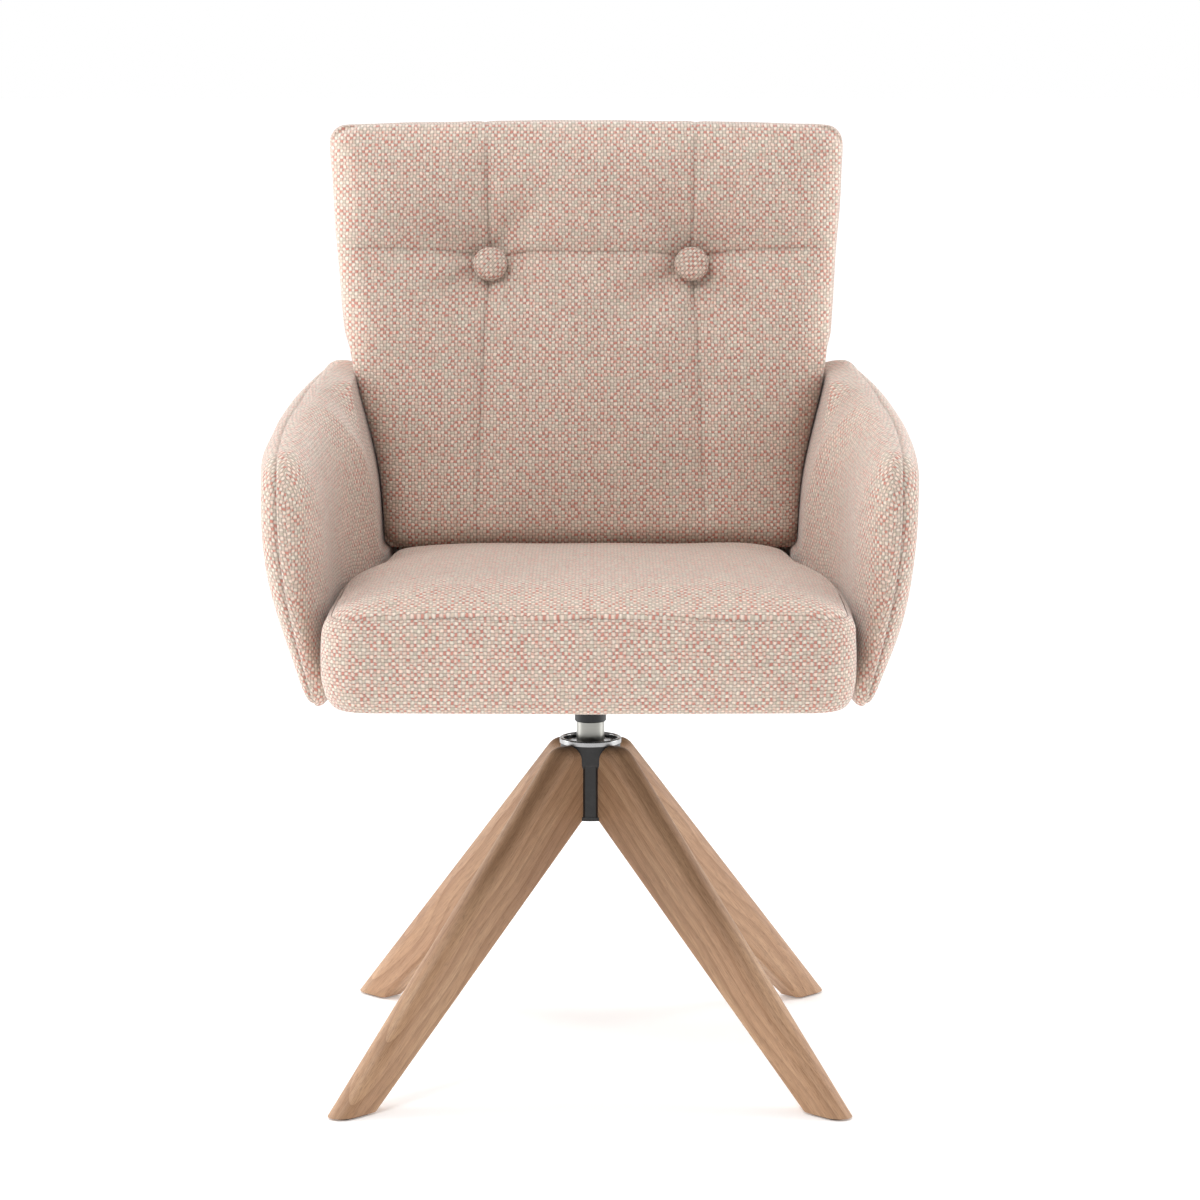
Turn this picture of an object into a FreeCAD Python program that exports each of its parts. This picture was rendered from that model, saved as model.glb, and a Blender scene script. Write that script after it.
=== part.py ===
"""Upholstered swivel armchair on a cross base of four oak legs.

Millimetres. +Z is up and the sitter faces -Y. The origin is on the floor, on the swivel axis. Left and
right in the names are as seen from the front, so left is -X. The base body is the legs, hub and fixed
bearing rings; all the rest turns with the seat.
"""

import FreeCAD, Part
import math
import os

V = FreeCAD.Vector
AXIS_Z = V(0, 0, 1)
ORIGIN = V(0, 0, 0)

# Overall
TOP_Z = 891.0
FRONT_Y = -303.0

# Legs, drawn in each leg's upright plane at 45 degrees: r outwards from the axis, z up
GLIDE_T = 2.0
LEG_T = 27.0
LEG_OUT_R = 334.5
LEG_OUT_SLOPE = 0.948
LEG_IN_R = 289.0
LEG_IN_SLOPE = 1.149
LEG_TOP_Z = 305.0
LEG_SHOULDER_R = 20.0
LEG_NOSE_R = 13.3
LEG_EDGE_R = 4.0
GLIDE_SIDE = 4.0
GLIDE_END = 4.5
GLIDE_TOE = 8.5
LEG_ANGLES = {"front_left": 225, "front_right": 315, "rear_right": 45, "rear_left": 135}

# Hub: a square post turned 45 degrees, with its corners cut off as ribs between the legs
HUB_FACE = 23.4
HUB_RIB = 28.0
HUB_BOTTOM_Z = 233.0
HUB_TOP_Z = 305.0
CUP_R = 28.6
CUP_Z = 287.0
CUP_FLARE = 10.0
FOOT_FLANGE_T = 3.5
FOOT_FLANGE_W = 1.6
RECESS_R = 25.4
RECESS_Z = 303.0
CAVITY_HALF = 19.0
CAVITY_Z = (258.0, 292.0)
RING_R = 29.5
RING_T = 3.8
RING_TOP_Z = 310.0
RING_EDGE_R = 1.4

# Ball bearings, 17 x 35 x 10
BEARING_OD_R = 17.5
BEARING_BORE_R = 8.5
BEARING_H = 10.0
BEARING_PITCH_R = 13.0
BALL_R = 2.38
BALLS = 10
GROOVE_R = 2.48
INNER_RACE_R = 11.3
OUTER_RACE_R = 14.7
SHOULDER_R = 16.0
UPPER_BEARING_Z = 294.0
LOWER_BEARING_Z = 246.0

# Column and spindle
FIT = 0.03
COLUMN_R = 13.4
COLUMN_Z = (306.4, 381.0)
WASHER_R = 19.4
COLLAR_R = 15.0
COLLAR_Z = (325.4, 366.0)
COLLAR_CHAMFER = 1.0
SOCKET_R = 19.0
SPINDLE_END_Z = 237.5
THREAD_R = 6.0
CAP_T = 2.5
CAP_SKIRT = 4.0
CAP_SKIRT_T = 2.0
NUT_AF = 19.0
NUT_H = 5.8
SPINDLE_WASHER_T = 1.2
RACE_STEP = 0.5

# Leg fasteners
BOLT_R = 3.0
BOLT_HEAD_R = 5.2
BOLT_HEAD_H = 3.3
BOLT_LENGTH = 26.0
BOLT_HEIGHTS = (266.0, 284.0)
INSERT_R = 5.0
INSERT_LENGTH = 16.0
INSERT_SINK = 0.6
KEY_AF = 4.0
KEY_DEPTH = 2.0
BORE_PLAY = 0.2
THREAD_FIT = 0.02

# Seat frame
FRAME_Z = 384.0
RAIL_H = 46.0
RAIL_T = 22.0
SKIRT = 14.0
PLATE = (200.0, 170.0, 4.0)
PLATE_CORNER_R = 18.0
GUSSET_REACH = 72.0
GUSSET_T = 3.0
PLATE_BOLTS = (160.0, 130.0)
CROSS_RAIL_H = 22.0
CROSS_RAIL_W = 44.0
CROSS_RAIL_GAP = 8.0
TEE_BARREL_R = 4.2
TEE_BARREL_H = 12.0
TEE_FLANGE_R = 10.0
TEE_FLANGE_T = 1.4
WEB_T = 1.6
WEB_W = 50.0
WEB_X = (-120.0, -40.0, 40.0, 120.0)
WEB_Y = (-190.0, -70.0, 50.0)
WEB_MARGIN = 6.0
COVER_T = 0.8

# Seat cushion: half widths at stations along Y, and its heights
SEAT_HALF_FRONT = 235.0
SEAT_CORNER_R = 42.0
SEAT_HALF_MID = 231.0
SEAT_HALF_BACK = 196.0
SEAT_BACK_Y = 112.0
SEAT_REAR_Y = 196.0
SEAT_BOTTOM_Z = 383.0
SEAT_CROWN_Z = 491.0
CROWN_RADIUS = 2300.0
SEAT_TOP_EDGE_R = 26.0
FOAM_BOTTOM_Z = 436.0

# Back: front and rear faces lean by different amounts, Y = start + slope * (z - BACK_REF_Z)
BACK_REF_Z = 400.0
BACK_FRONT = (91.5, 0.27)
BACK_REAR = (235.0, 0.1415)
BACK_PAD_T = 16.0
BACK_PANEL_T = 12.0
BACK_BOTTOM_Z = 474.0
SHELL_BOTTOM_Z = 374.0
PANEL_TOP_Z = 850.0
BACK_HALF = ((374.0, 196.0), (474.0, 203.0), (650.0, 238.0), (800.0, 252.0), (891.0, 264.0))
BACK_CORNER_R = 26.0
BACK_FOOT_R = 18.0
SCREW_X = (-130.0, -45.0, 45.0, 130.0)
SCREW_RISE = (14.0, 33.0)
SCREW_R = 2.0
SCREW_HEAD_R = 4.0
SCREW_HEAD_H = 2.2
SCREW_LENGTH = 30.0

# Tufting buttons on the back
BUTTON_X = 100.0
BUTTON_Z = 753.0
BUTTON_R = 17.0
BUTTON_H = 8.0
BUTTON_SINK = 9.0
DIMPLE_R = 17.6
TWINE_R = 1.2
TOGGLE_R = 11.0
TOGGLE_T = 3.0
TWINE_DROP = 3.0
BUTTON_EDGE_R = 3.2

# Arms, drawn for the right-hand side of the plan (+X)
ARM_BOTTOM_Z = 374.0
ARM_FRONT_Y = -240.0
ARM_PANEL_T = 9.0
ARM_PANEL_X = 252.0
ARM_PANEL_TURN = 3.8
ARM_PANEL_Y = (-190.0, 92.0)
ARM_PANEL_Z = (400.0, 562.0)
ARM_PANEL_CORNER_R = 60.0
SPACER_Y = (-148.0, 60.0)
SPACER_SIZE = 30.0
SPACER_Z = 408.0
SPACER_SHOULDER = 8.0
ARM_BOLT_RISE = 4.0
GAP = 0.4


# ---------------------------------------------------------------- helpers

def at_xy(a, b):
    return V(a, b, 0)


def at_xz(a, b):
    return V(a, 0, b)


def at_yz(a, b):
    return V(0, a, b)


def corner_points(before, corner, after, radius):
    """Start, middle and end of the arc that rounds a corner, all (a, b) pairs."""
    ua = math.hypot(before[0] - corner[0], before[1] - corner[1])
    ub = math.hypot(after[0] - corner[0], after[1] - corner[1])
    da = ((before[0] - corner[0]) / ua, (before[1] - corner[1]) / ua)
    db = ((after[0] - corner[0]) / ub, (after[1] - corner[1]) / ub)
    half = math.acos(max(-1.0, min(1.0, da[0] * db[0] + da[1] * db[1]))) / 2
    run = radius / math.tan(half)
    to_centre = radius / math.sin(half)
    mid = ((da[0] + db[0]) / 2, (da[1] + db[1]) / 2)
    size = math.hypot(*mid)
    nearest = (to_centre - radius) / size
    start = (corner[0] + da[0] * run, corner[1] + da[1] * run)
    middle = (corner[0] + mid[0] * nearest, corner[1] + mid[1] * nearest)
    end = (corner[0] + db[0] * run, corner[1] + db[1] * run)
    return start, middle, end


def in_line(before, corner, after):
    """True where the outline runs almost straight through a corner, which then takes no arc."""
    turn = math.atan2(after[1] - corner[1], after[0] - corner[0])
    turn -= math.atan2(corner[1] - before[1], corner[0] - before[0])
    return abs(math.sin(turn)) < 0.002


def outline(corners, plane):
    """Closed face from (a, b) or (a, b, radius) corners."""
    edges = []
    stops = []
    count = len(corners)
    for i, corner in enumerate(corners):
        radius = corner[2] if len(corner) > 2 else 0.0
        before = corners[i - 1]
        after = corners[(i + 1) % count]
        if radius and not in_line(before, corner, after):
            stops.append(corner_points(before, corner, after, radius))
        else:
            stops.append((corner[:2], None, corner[:2]))
    for i, (start, middle, end) in enumerate(stops):
        if middle:
            edges.append(Part.Arc(plane(*start), plane(*middle), plane(*end)).toShape())
        following = stops[(i + 1) % count][0]
        if math.dist(end, following) > 1e-6:
            edges.append(Part.makeLine(plane(*end), plane(*following)))
    return Part.Face(Part.Wire(edges))


def prism_z(corners, z0, z1):
    solid = outline(corners, at_xy).extrude(V(0, 0, z1 - z0))
    solid.translate(V(0, 0, z0))
    return solid


def prism_y(corners, y0, y1):
    solid = outline(corners, at_xz).extrude(V(0, y1 - y0, 0))
    solid.translate(V(0, y0, 0))
    return solid


def prism_x(corners, x0, x1):
    solid = outline(corners, at_yz).extrude(V(x1 - x0, 0, 0))
    solid.translate(V(x0, 0, 0))
    return solid


def box(x0, x1, y0, y1, z0, z1):
    return Part.makeBox(x1 - x0, y1 - y0, z1 - z0, V(x0, y0, z0))


def rod(radius, z0, z1, x=0.0, y=0.0):
    return Part.makeCylinder(radius, z1 - z0, V(x, y, z0), AXIS_Z)


def tube(outer, inner, z0, z1):
    return rod(outer, z0, z1).cut(rod(inner, z0 - 1, z1 + 1))


def hexagon(across_flats, z0, z1, x=0.0, y=0.0):
    reach = across_flats / math.sqrt(3)
    points = []
    for i in range(6):
        angle = math.radians(60 * i)
        points.append((x + reach * math.cos(angle), y + reach * math.sin(angle)))
    return prism_z(points, z0, z1)


def turned(shape, degrees, centre=ORIGIN):
    copy = shape.copy()
    copy.rotate(centre, AXIS_Z, degrees)
    return copy


def mirrored(shape):
    return shape.mirror(ORIGIN, V(1, 0, 0))


def group(shapes):
    return Part.makeCompound(shapes)


def cut_all(shape, tools):
    for tool in tools:
        shape = shape.cut(tool)
    return shape


# ---------------------------------------------------------------- base

def leg_out(z):
    return LEG_OUT_R - LEG_OUT_SLOPE * z


def leg_in(z):
    return LEG_IN_R - LEG_IN_SLOPE * z


def leg_blank():
    """A leg along +X, before its bolt pockets are bored and before it is turned to its corner."""
    face_z = (LEG_IN_R - HUB_FACE) / LEG_IN_SLOPE
    corners = [
        (HUB_FACE, face_z),
        (HUB_FACE, LEG_TOP_Z),
        (leg_out(LEG_TOP_Z), LEG_TOP_Z, LEG_SHOULDER_R),
        (leg_out(GLIDE_T), GLIDE_T),
        (leg_in(GLIDE_T), GLIDE_T),
    ]
    leg = prism_y(corners, -LEG_T / 2, LEG_T / 2)
    outer = []
    inner = []
    for edge in leg.Edges:
        middle = edge.valueAt((edge.FirstParameter + edge.LastParameter) / 2)
        along_side = abs(abs(middle.y) - LEG_T / 2) < 0.01
        if not along_side or abs(middle.x - HUB_FACE) < 0.01 or abs(middle.z - GLIDE_T) < 0.01:
            continue
        if middle.x > leg_in(middle.z) + 5:
            outer.append(edge)
        else:
            inner.append(edge)
    leg = leg.makeFillet(LEG_NOSE_R, outer)
    return leg.makeFillet(LEG_EDGE_R, [same_edge(leg, edge) for edge in inner])


def bored(leg):
    for height in BOLT_HEIGHTS:
        leg = leg.cut(radial(INSERT_R, HUB_FACE - 1, HUB_FACE + 1 + INSERT_LENGTH, height))
        leg = leg.cut(radial(BOLT_R + BORE_PLAY, HUB_FACE - 1, CAVITY_HALF + BOLT_LENGTH + 2, height))
    return leg


def same_edge(shape, wanted):
    """The edge of shape whose middle lies nearest to the middle of an edge known before a fillet."""
    target = wanted.valueAt((wanted.FirstParameter + wanted.LastParameter) / 2)
    return min(shape.Edges, key=lambda e: edge_middle(e).distanceToPoint(target))


def edge_middle(edge):
    return edge.valueAt((edge.FirstParameter + edge.LastParameter) / 2)


def radial(radius, r0, r1, z):
    return Part.makeCylinder(radius, r1 - r0, V(r0, 0, z), V(1, 0, 0))


def leg_bolt(height):
    head = radial(BOLT_HEAD_R, CAVITY_HALF - BOLT_HEAD_H, CAVITY_HALF, height)
    key = hexagon(KEY_AF, 0, KEY_DEPTH)
    key.rotate(ORIGIN, V(0, 1, 0), 90)
    key.translate(V(CAVITY_HALF - BOLT_HEAD_H - 0.01, 0, height))
    return head.fuse(radial(BOLT_R, CAVITY_HALF, CAVITY_HALF + BOLT_LENGTH, height)).cut(key)


def leg_insert(height):
    start = HUB_FACE + INSERT_SINK
    body = radial(INSERT_R, start, start + INSERT_LENGTH, height)
    return body.cut(radial(BOLT_R + THREAD_FIT, HUB_FACE, start + 1 + INSERT_LENGTH, height))


def around_legs(blank):
    return [turned(blank, angle) for angle in LEG_ANGLES.values()]


def foot_glide():
    """Pad under a leg: set in from its sides, heel and rounded toe."""
    half = LEG_T / 2 - GLIDE_SIDE
    heel = leg_in(0) + GLIDE_END
    toe = leg_out(0) - GLIDE_TOE
    pad = [(heel, -half, 4), (toe, -half, 8), (toe, half, 8), (heel, half, 4)]
    return prism_z(pad, 0, GLIDE_T)


def hub_post(z0, z1, face, rib):
    """Square post whose faces look at 45 degrees, with its four corners cut off at the ribs."""
    side = face * math.sqrt(2)
    diamond = prism_z([(side, 0), (0, side), (-side, 0), (0, -side)], z0, z1)
    return diamond.common(box(-rib, rib, -rib, rib, z0, z1))


def hub_casting(legs):
    hub = hub_post(HUB_BOTTOM_Z, HUB_TOP_Z, HUB_FACE, HUB_RIB)
    cup = rod(CUP_R, CUP_Z, HUB_TOP_Z)
    flare = Part.makeCone(HUB_RIB - 3, CUP_R, CUP_FLARE, V(0, 0, CUP_Z - CUP_FLARE), AXIS_Z)
    foot = rod(CUP_R, HUB_BOTTOM_Z, HUB_BOTTOM_Z + FOOT_FLANGE_T)
    foot = foot.common(hub_post(HUB_BOTTOM_Z, HUB_TOP_Z, HUB_FACE + FOOT_FLANGE_W, CUP_R))
    hub = hub.fuse([cup, flare, foot])
    hub = cut_all(hub, legs)
    corner = CAVITY_HALF * math.sqrt(2)
    diamond = [(corner, 0), (0, corner), (-corner, 0), (0, -corner)]
    bores = [
        rod(BEARING_OD_R + FIT, HUB_BOTTOM_Z - 1, LOWER_BEARING_Z + BEARING_H),
        rod(SHOULDER_R, LOWER_BEARING_Z, CAVITY_Z[0] + 1),
        prism_z(diamond, *CAVITY_Z).common(rod(CUP_R - 4, *CAVITY_Z)),
        rod(SHOULDER_R, CAVITY_Z[1] - 1, UPPER_BEARING_Z + 1),
        rod(BEARING_OD_R + FIT, UPPER_BEARING_Z, HUB_TOP_Z + 1),
        rod(RECESS_R, RECESS_Z, HUB_TOP_Z + 1),
    ]
    hub = cut_all(hub, bores)
    for height in BOLT_HEIGHTS:
        shank = radial(BOLT_R + BORE_PLAY, CAVITY_HALF - 1, HUB_FACE + 1, height)
        hub = cut_all(hub, around_legs(shank))
    return hub


def hub_ring():
    """Bright rim, with a rounded top edge, that stands on the cup above the leg ends."""
    ring = tube(RING_R, RING_R - RING_T, HUB_TOP_Z, RING_TOP_Z)
    rims = [e for e in ring.Edges if abs(e.BoundBox.ZMin - RING_TOP_Z) < 0.01 and len(e.Vertexes) == 1]
    return ring.makeFillet(RING_EDGE_R, rims)


def hub_cap():
    radius = BEARING_OD_R - 0.05
    skirt = tube(radius, radius - CAP_SKIRT_T, HUB_BOTTOM_Z + CAP_T, HUB_BOTTOM_Z + CAP_T + CAP_SKIRT)
    return rod(radius, HUB_BOTTOM_Z, HUB_BOTTOM_Z + CAP_T).fuse(skirt)


def bearing(z):
    """Outer ring, inner ring and balls of a deep-groove bearing whose lower face is at z."""
    middle = z + BEARING_H / 2
    groove = Part.makeTorus(BEARING_PITCH_R, GROOVE_R, V(0, 0, middle), AXIS_Z)
    outer = tube(BEARING_OD_R, OUTER_RACE_R, z, z + BEARING_H).cut(groove)
    inner = tube(INNER_RACE_R, BEARING_BORE_R + FIT, z, z + BEARING_H + RACE_STEP).cut(groove)
    balls = []
    for i in range(BALLS):
        angle = math.radians(360 * i / BALLS)
        centre = V(BEARING_PITCH_R * math.cos(angle), BEARING_PITCH_R * math.sin(angle), middle)
        balls.append(Part.makeSphere(BALL_R, centre))
    return outer, inner, group(balls)


def base_parts():
    blank = leg_blank()
    leg = bored(blank)
    parts = {"leg_" + name: turned(leg, angle) for name, angle in LEG_ANGLES.items()}
    parts["hub_casting"] = hub_casting(around_legs(blank))
    parts["hub_ring"] = hub_ring()
    parts["hub_bottom_cap"] = hub_cap()
    bolts = []
    inserts = []
    for height in BOLT_HEIGHTS:
        bolts += around_legs(leg_bolt(height))
        inserts += around_legs(leg_insert(height))
    parts["leg_bolts"] = group(bolts)
    parts["leg_inserts"] = group(inserts)
    parts["foot_glides"] = group(around_legs(foot_glide()))
    for level, z in (("upper", UPPER_BEARING_Z), ("lower", LOWER_BEARING_Z)):
        outer, inner, balls = bearing(z)
        parts[level + "_bearing_outer_ring"] = outer
        parts[level + "_bearing_inner_ring"] = inner
        parts[level + "_bearing_balls"] = balls
    return parts


# ---------------------------------------------------------------- column and seat frame

def column():
    shaft = rod(COLUMN_R, *COLUMN_Z)
    spindle = rod(BEARING_BORE_R, LOWER_BEARING_Z, COLUMN_Z[0])
    thread = rod(THREAD_R, SPINDLE_END_Z, LOWER_BEARING_Z)
    return shaft.fuse([spindle, thread])


def column_collar():
    collar = tube(COLLAR_R, COLUMN_R + FIT, *COLLAR_Z)
    low = [e for e in collar.Edges if abs(e.BoundBox.ZMax - COLLAR_Z[0]) < 0.01]
    return collar.makeChamfer(COLLAR_CHAMFER, [e for e in low if e.BoundBox.XMax > COLLAR_R - 0.5])


def seat_plate():
    length, depth, thick = PLATE
    signs = ((-1, -1), (1, -1), (1, 1), (-1, 1))
    points = [(sx * length / 2, sy * depth / 2, PLATE_CORNER_R) for sx, sy in signs]
    plate = prism_z(points, FRAME_Z - thick, FRAME_Z)
    socket = rod(SOCKET_R, COLLAR_Z[1], FRAME_Z - thick)
    gussets = []
    for angle in (45, 135, 225, 315):
        top = FRAME_Z - thick
        web = [(SOCKET_R - 1, COLLAR_Z[1] + 2), (SOCKET_R - 1, top), (GUSSET_REACH, top)]
        gussets.append(turned(prism_y(web, -GUSSET_T / 2, GUSSET_T / 2), angle))
    plate = plate.fuse([socket] + gussets)
    plate = plate.cut(rod(COLUMN_R + FIT, COLLAR_Z[1] - 1, COLUMN_Z[1] + 0.02))
    for x, y in plate_bolt_places():
        plate = plate.cut(rod(BOLT_R + 0.3, FRAME_Z - thick - 1, FRAME_Z + 1, x, y))
    return plate


def plate_bolt_places():
    dx, dy = PLATE_BOLTS
    return [(sx * dx / 2, sy * dy / 2) for sx in (-1, 1) for sy in (-1, 1)]


def plate_bolt(x, y):
    under = FRAME_Z - PLATE[2]
    head = rod(BOLT_HEAD_R, under - BOLT_HEAD_H, under, x, y)
    shank = rod(BOLT_R, under, FRAME_Z + CROSS_RAIL_H + 1, x, y)
    return head.fuse(shank).cut(hexagon(KEY_AF, under - BOLT_HEAD_H - 1, under - 1.2, x, y))


def tee_nut(x, y, top):
    barrel = rod(TEE_BARREL_R, top - TEE_BARREL_H, top, x, y)
    flange = rod(TEE_FLANGE_R, top, top + TEE_FLANGE_T, x, y)
    return barrel.fuse(flange).cut(rod(BOLT_R + THREAD_FIT, top - TEE_BARREL_H - 1, top + 3, x, y))


def seat_half(y):
    """Half width of the seat cushion behind its front corners."""
    if y < -50:
        return SEAT_HALF_FRONT + (SEAT_HALF_MID - SEAT_HALF_FRONT) * (y + 200) / 150
    return SEAT_HALF_MID + (SEAT_HALF_BACK - SEAT_HALF_MID) * (y + 50) / (SEAT_BACK_Y + 50)


def seat_plan(inset):
    """Plan of the seat: a nearly straight front, round corners and sides that close in to the back."""
    front = FRONT_Y + inset
    radius = SEAT_CORNER_R - inset
    return [
        (seat_half(-200) - inset, front + 6, radius),
        (seat_half(-200) - inset, -200),
        (seat_half(-50) - inset, -50, 300),
        (seat_half(SEAT_BACK_Y) - inset, SEAT_BACK_Y),
        (seat_half(SEAT_BACK_Y) - inset, SEAT_REAR_Y),
        (-seat_half(SEAT_BACK_Y) + inset, SEAT_REAR_Y),
        (-seat_half(SEAT_BACK_Y) + inset, SEAT_BACK_Y),
        (-seat_half(-50) + inset, -50, 300),
        (-seat_half(-200) + inset, -200),
        (-seat_half(-200) + inset, front + 6, radius),
        (0, front, 2000),
    ]


def back_y(face, z):
    return face[0] + face[1] * (z - BACK_REF_Z)


def rear_rail_back(z):
    return back_y(BACK_REAR, z) - BACK_PAD_T - BACK_PANEL_T


def seat_rails():
    """Front, rear and two side rails, butted at the corners."""
    outer = prism_z(seat_plan(SKIRT), FRAME_Z, FRAME_Z + RAIL_H)
    inner = prism_z(seat_plan(SKIRT + RAIL_T), FRAME_Z - 1, FRAME_Z + RAIL_H + 1)
    ring = outer.cut(inner)
    front_cut = FRONT_Y + SKIRT + RAIL_T + 16
    rear_line = SEAT_REAR_Y - RAIL_T
    tall = (FRAME_Z - 5, FRAME_Z + RAIL_H + 5)
    front = ring.common(box(-300, 300, FRONT_Y, front_cut, *tall))
    side = ring.common(box(0, 300, front_cut, rear_line, *tall))
    half = SEAT_HALF_BACK - SKIRT
    profile = [
        (rear_line, FRAME_Z),
        (rear_rail_back(FRAME_Z), FRAME_Z),
        (rear_rail_back(FRAME_Z + RAIL_H), FRAME_Z + RAIL_H),
        (rear_line, FRAME_Z + RAIL_H),
    ]
    rear = prism_x(profile, -half, half)
    return front, rear, side


def cross_rails():
    rails = []
    for y in (-PLATE_BOLTS[1] / 2, PLATE_BOLTS[1] / 2):
        half = seat_half(y) - SKIRT - RAIL_T - CROSS_RAIL_GAP
        rail = box(-half, half, y - CROSS_RAIL_W / 2, y + CROSS_RAIL_W / 2, FRAME_Z, FRAME_Z + CROSS_RAIL_H)
        for x in (-PLATE_BOLTS[0] / 2, PLATE_BOLTS[0] / 2):
            rail = rail.cut(rod(TEE_BARREL_R, FRAME_Z - 1, FRAME_Z + CROSS_RAIL_H + 1, x, y))
        rails.append(rail)
    return group(rails)


def webbing():
    """Elastic straps over the rails: four front to back, three across them."""
    top = FRAME_Z + RAIL_H
    long_straps = []
    for x in WEB_X:
        ends = (FRONT_Y + SKIRT + WEB_MARGIN, SEAT_REAR_Y - WEB_MARGIN)
        long_straps.append(box(x - WEB_W / 2, x + WEB_W / 2, *ends, top, top + WEB_T))
    cross_straps = []
    for y in WEB_Y:
        half = seat_half(y) - SKIRT - WEB_MARGIN
        cross_straps.append(box(-half, half, y - WEB_W / 2, y + WEB_W / 2, top + WEB_T, top + 2 * WEB_T))
    return group(long_straps), group(cross_straps)


def dust_cover():
    """Thin cloth stapled under the rails, open round the seat plate."""
    cover = prism_z(seat_plan(SKIRT + 5), FRAME_Z - COVER_T, FRAME_Z)
    cover = cover.common(box(-300, 300, FRONT_Y, SEAT_REAR_Y - 2, 0, 500))
    hole = box(-PLATE[0] / 2 - 2, PLATE[0] / 2 + 2, -PLATE[1] / 2 - 2, PLATE[1] / 2 + 2, 0, 500)
    return cover.cut(hole)


def seat_cushion(spacer_rooms):
    body = prism_z(seat_plan(0), SEAT_BOTTOM_Z, SEAT_CROWN_Z + 40)
    crown = Part.makeSphere(CROWN_RADIUS, V(0, -90, SEAT_CROWN_Z - CROWN_RADIUS))
    body = body.common(crown)
    rims = [e for e in body.Edges if e.BoundBox.ZMin > SEAT_BOTTOM_Z + 20 and e.BoundBox.ZLength < 25
            and e.BoundBox.YMin < SEAT_BACK_Y + 20]
    body = body.makeFillet(SEAT_TOP_EDGE_R, rims)
    low = [e for e in body.Edges if e.BoundBox.ZMax < SEAT_BOTTOM_Z + 1 and e.BoundBox.YMin < SEAT_BACK_Y]
    body = body.makeFillet(10.0, low)
    room = prism_z(seat_plan(SKIRT - GAP), SEAT_BOTTOM_Z - 1, FOAM_BOTTOM_Z)
    body = body.cut(room.fuse(box(-300, 300, SEAT_REAR_Y - SKIRT - 1, 300, 0, FOAM_BOTTOM_Z)))
    body = body.cut(back_shape(GAP, BACK_BOTTOM_Z, TOP_Z))
    return cut_all(body, spacer_rooms)


# ---------------------------------------------------------------- arms

def arm_pad(panel, spacer_rooms, bolts):
    """Padded arm: plan, side and front outlines meet in one body, cut back from the seat and back."""
    inner = seat_half(SEAT_BACK_Y) + 2
    plan = [
        (243, ARM_FRONT_Y, 24),
        (291, ARM_FRONT_Y, 26),
        (298, -120, 300),
        (289, 60, 300),
        (273, 250, 20),
        (inner, 250),
        (inner, SEAT_BACK_Y),
        (seat_half(-50) + 2, -50, 300),
        (seat_half(-200) + 3, -200),
    ]
    side = [
        (-205, ARM_BOTTOM_Z, 14),
        (-241, 500, 200),
        (-241, 596, 52),
        (60, 634, 300),
        (back_y(BACK_REAR, 652), 652, 16),
        (back_y(BACK_REAR, ARM_BOTTOM_Z), ARM_BOTTOM_Z, 10),
    ]
    front = [
        (inner, ARM_BOTTOM_Z),
        (254, ARM_BOTTOM_Z, 12),
        (286, 460, 200),
        (298, 560, 200),
        (288, 622, 60),
        (246, 654, 30),
        (236, 654),
        (inner, 470, 100),
    ]
    pad = prism_z(plan, ARM_BOTTOM_Z - 5, 700)
    pad = pad.common(prism_x(side, 100, 340))
    pad = pad.common(prism_y(front, -300, 320))
    pad = pad.cut(prism_z(seat_plan(-GAP), SEAT_BOTTOM_Z - 20, SEAT_CROWN_Z - 8))
    pad = pad.cut(back_shape(GAP, SHELL_BOTTOM_Z - 5, TOP_Z))
    pad = pad.cut(panel)
    return cut_all(pad, spacer_rooms + bolts)


def arm_panel():
    """Plywood board inside the arm, with its upper front corner rounded off."""
    points = [
        (ARM_PANEL_Y[0] + 12, ARM_PANEL_Z[0], 8),
        (ARM_PANEL_Y[0], ARM_PANEL_Z[1], ARM_PANEL_CORNER_R),
        (ARM_PANEL_Y[1], ARM_PANEL_Z[1], 12),
        (ARM_PANEL_Y[1], ARM_PANEL_Z[0], 8),
    ]
    board = prism_x(points, ARM_PANEL_X - ARM_PANEL_T / 2, ARM_PANEL_X + ARM_PANEL_T / 2)
    return turned(board, ARM_PANEL_TURN, V(ARM_PANEL_X, ARM_PANEL_Y[0], 0))


def arm_spacer(y, side_rail, panel):
    """Hardwood block that carries the arm panel on the side rail."""
    half = SPACER_SIZE / 2
    block = box(150, 262, y - half, y + half, SPACER_Z - half + SPACER_SHOULDER, SPACER_Z + half)
    outside = prism_z(seat_plan(SKIRT), FRAME_Z, FRAME_Z + RAIL_H)
    block = block.cut(outside).cut(panel)
    return max(block.Solids, key=lambda s: -s.CenterOfMass.x)


def arm_bolt(y):
    """Long bolt from inside the side rail, through the spacer, into the arm panel."""
    z = SPACER_Z + ARM_BOLT_RISE
    start = seat_half(y) - SKIRT - RAIL_T - 3
    head = Part.makeCylinder(BOLT_HEAD_R, BOLT_HEAD_H, V(start - BOLT_HEAD_H, y, z), V(1, 0, 0))
    reach = ARM_PANEL_X + ARM_PANEL_T / 2 - start + 1
    shank = Part.makeCylinder(BOLT_R, reach, V(start, y, z), V(1, 0, 0))
    return head.fuse(shank)


# ---------------------------------------------------------------- back

def half_width(z):
    """Half width of the back at a height, along its straight-sided outline."""
    for (z0, w0), (z1, w1) in zip(BACK_HALF, BACK_HALF[1:]):
        if z <= z1:
            return w0 + (w1 - w0) * (z - z0) / (z1 - z0)
    return BACK_HALF[-1][1]


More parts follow.
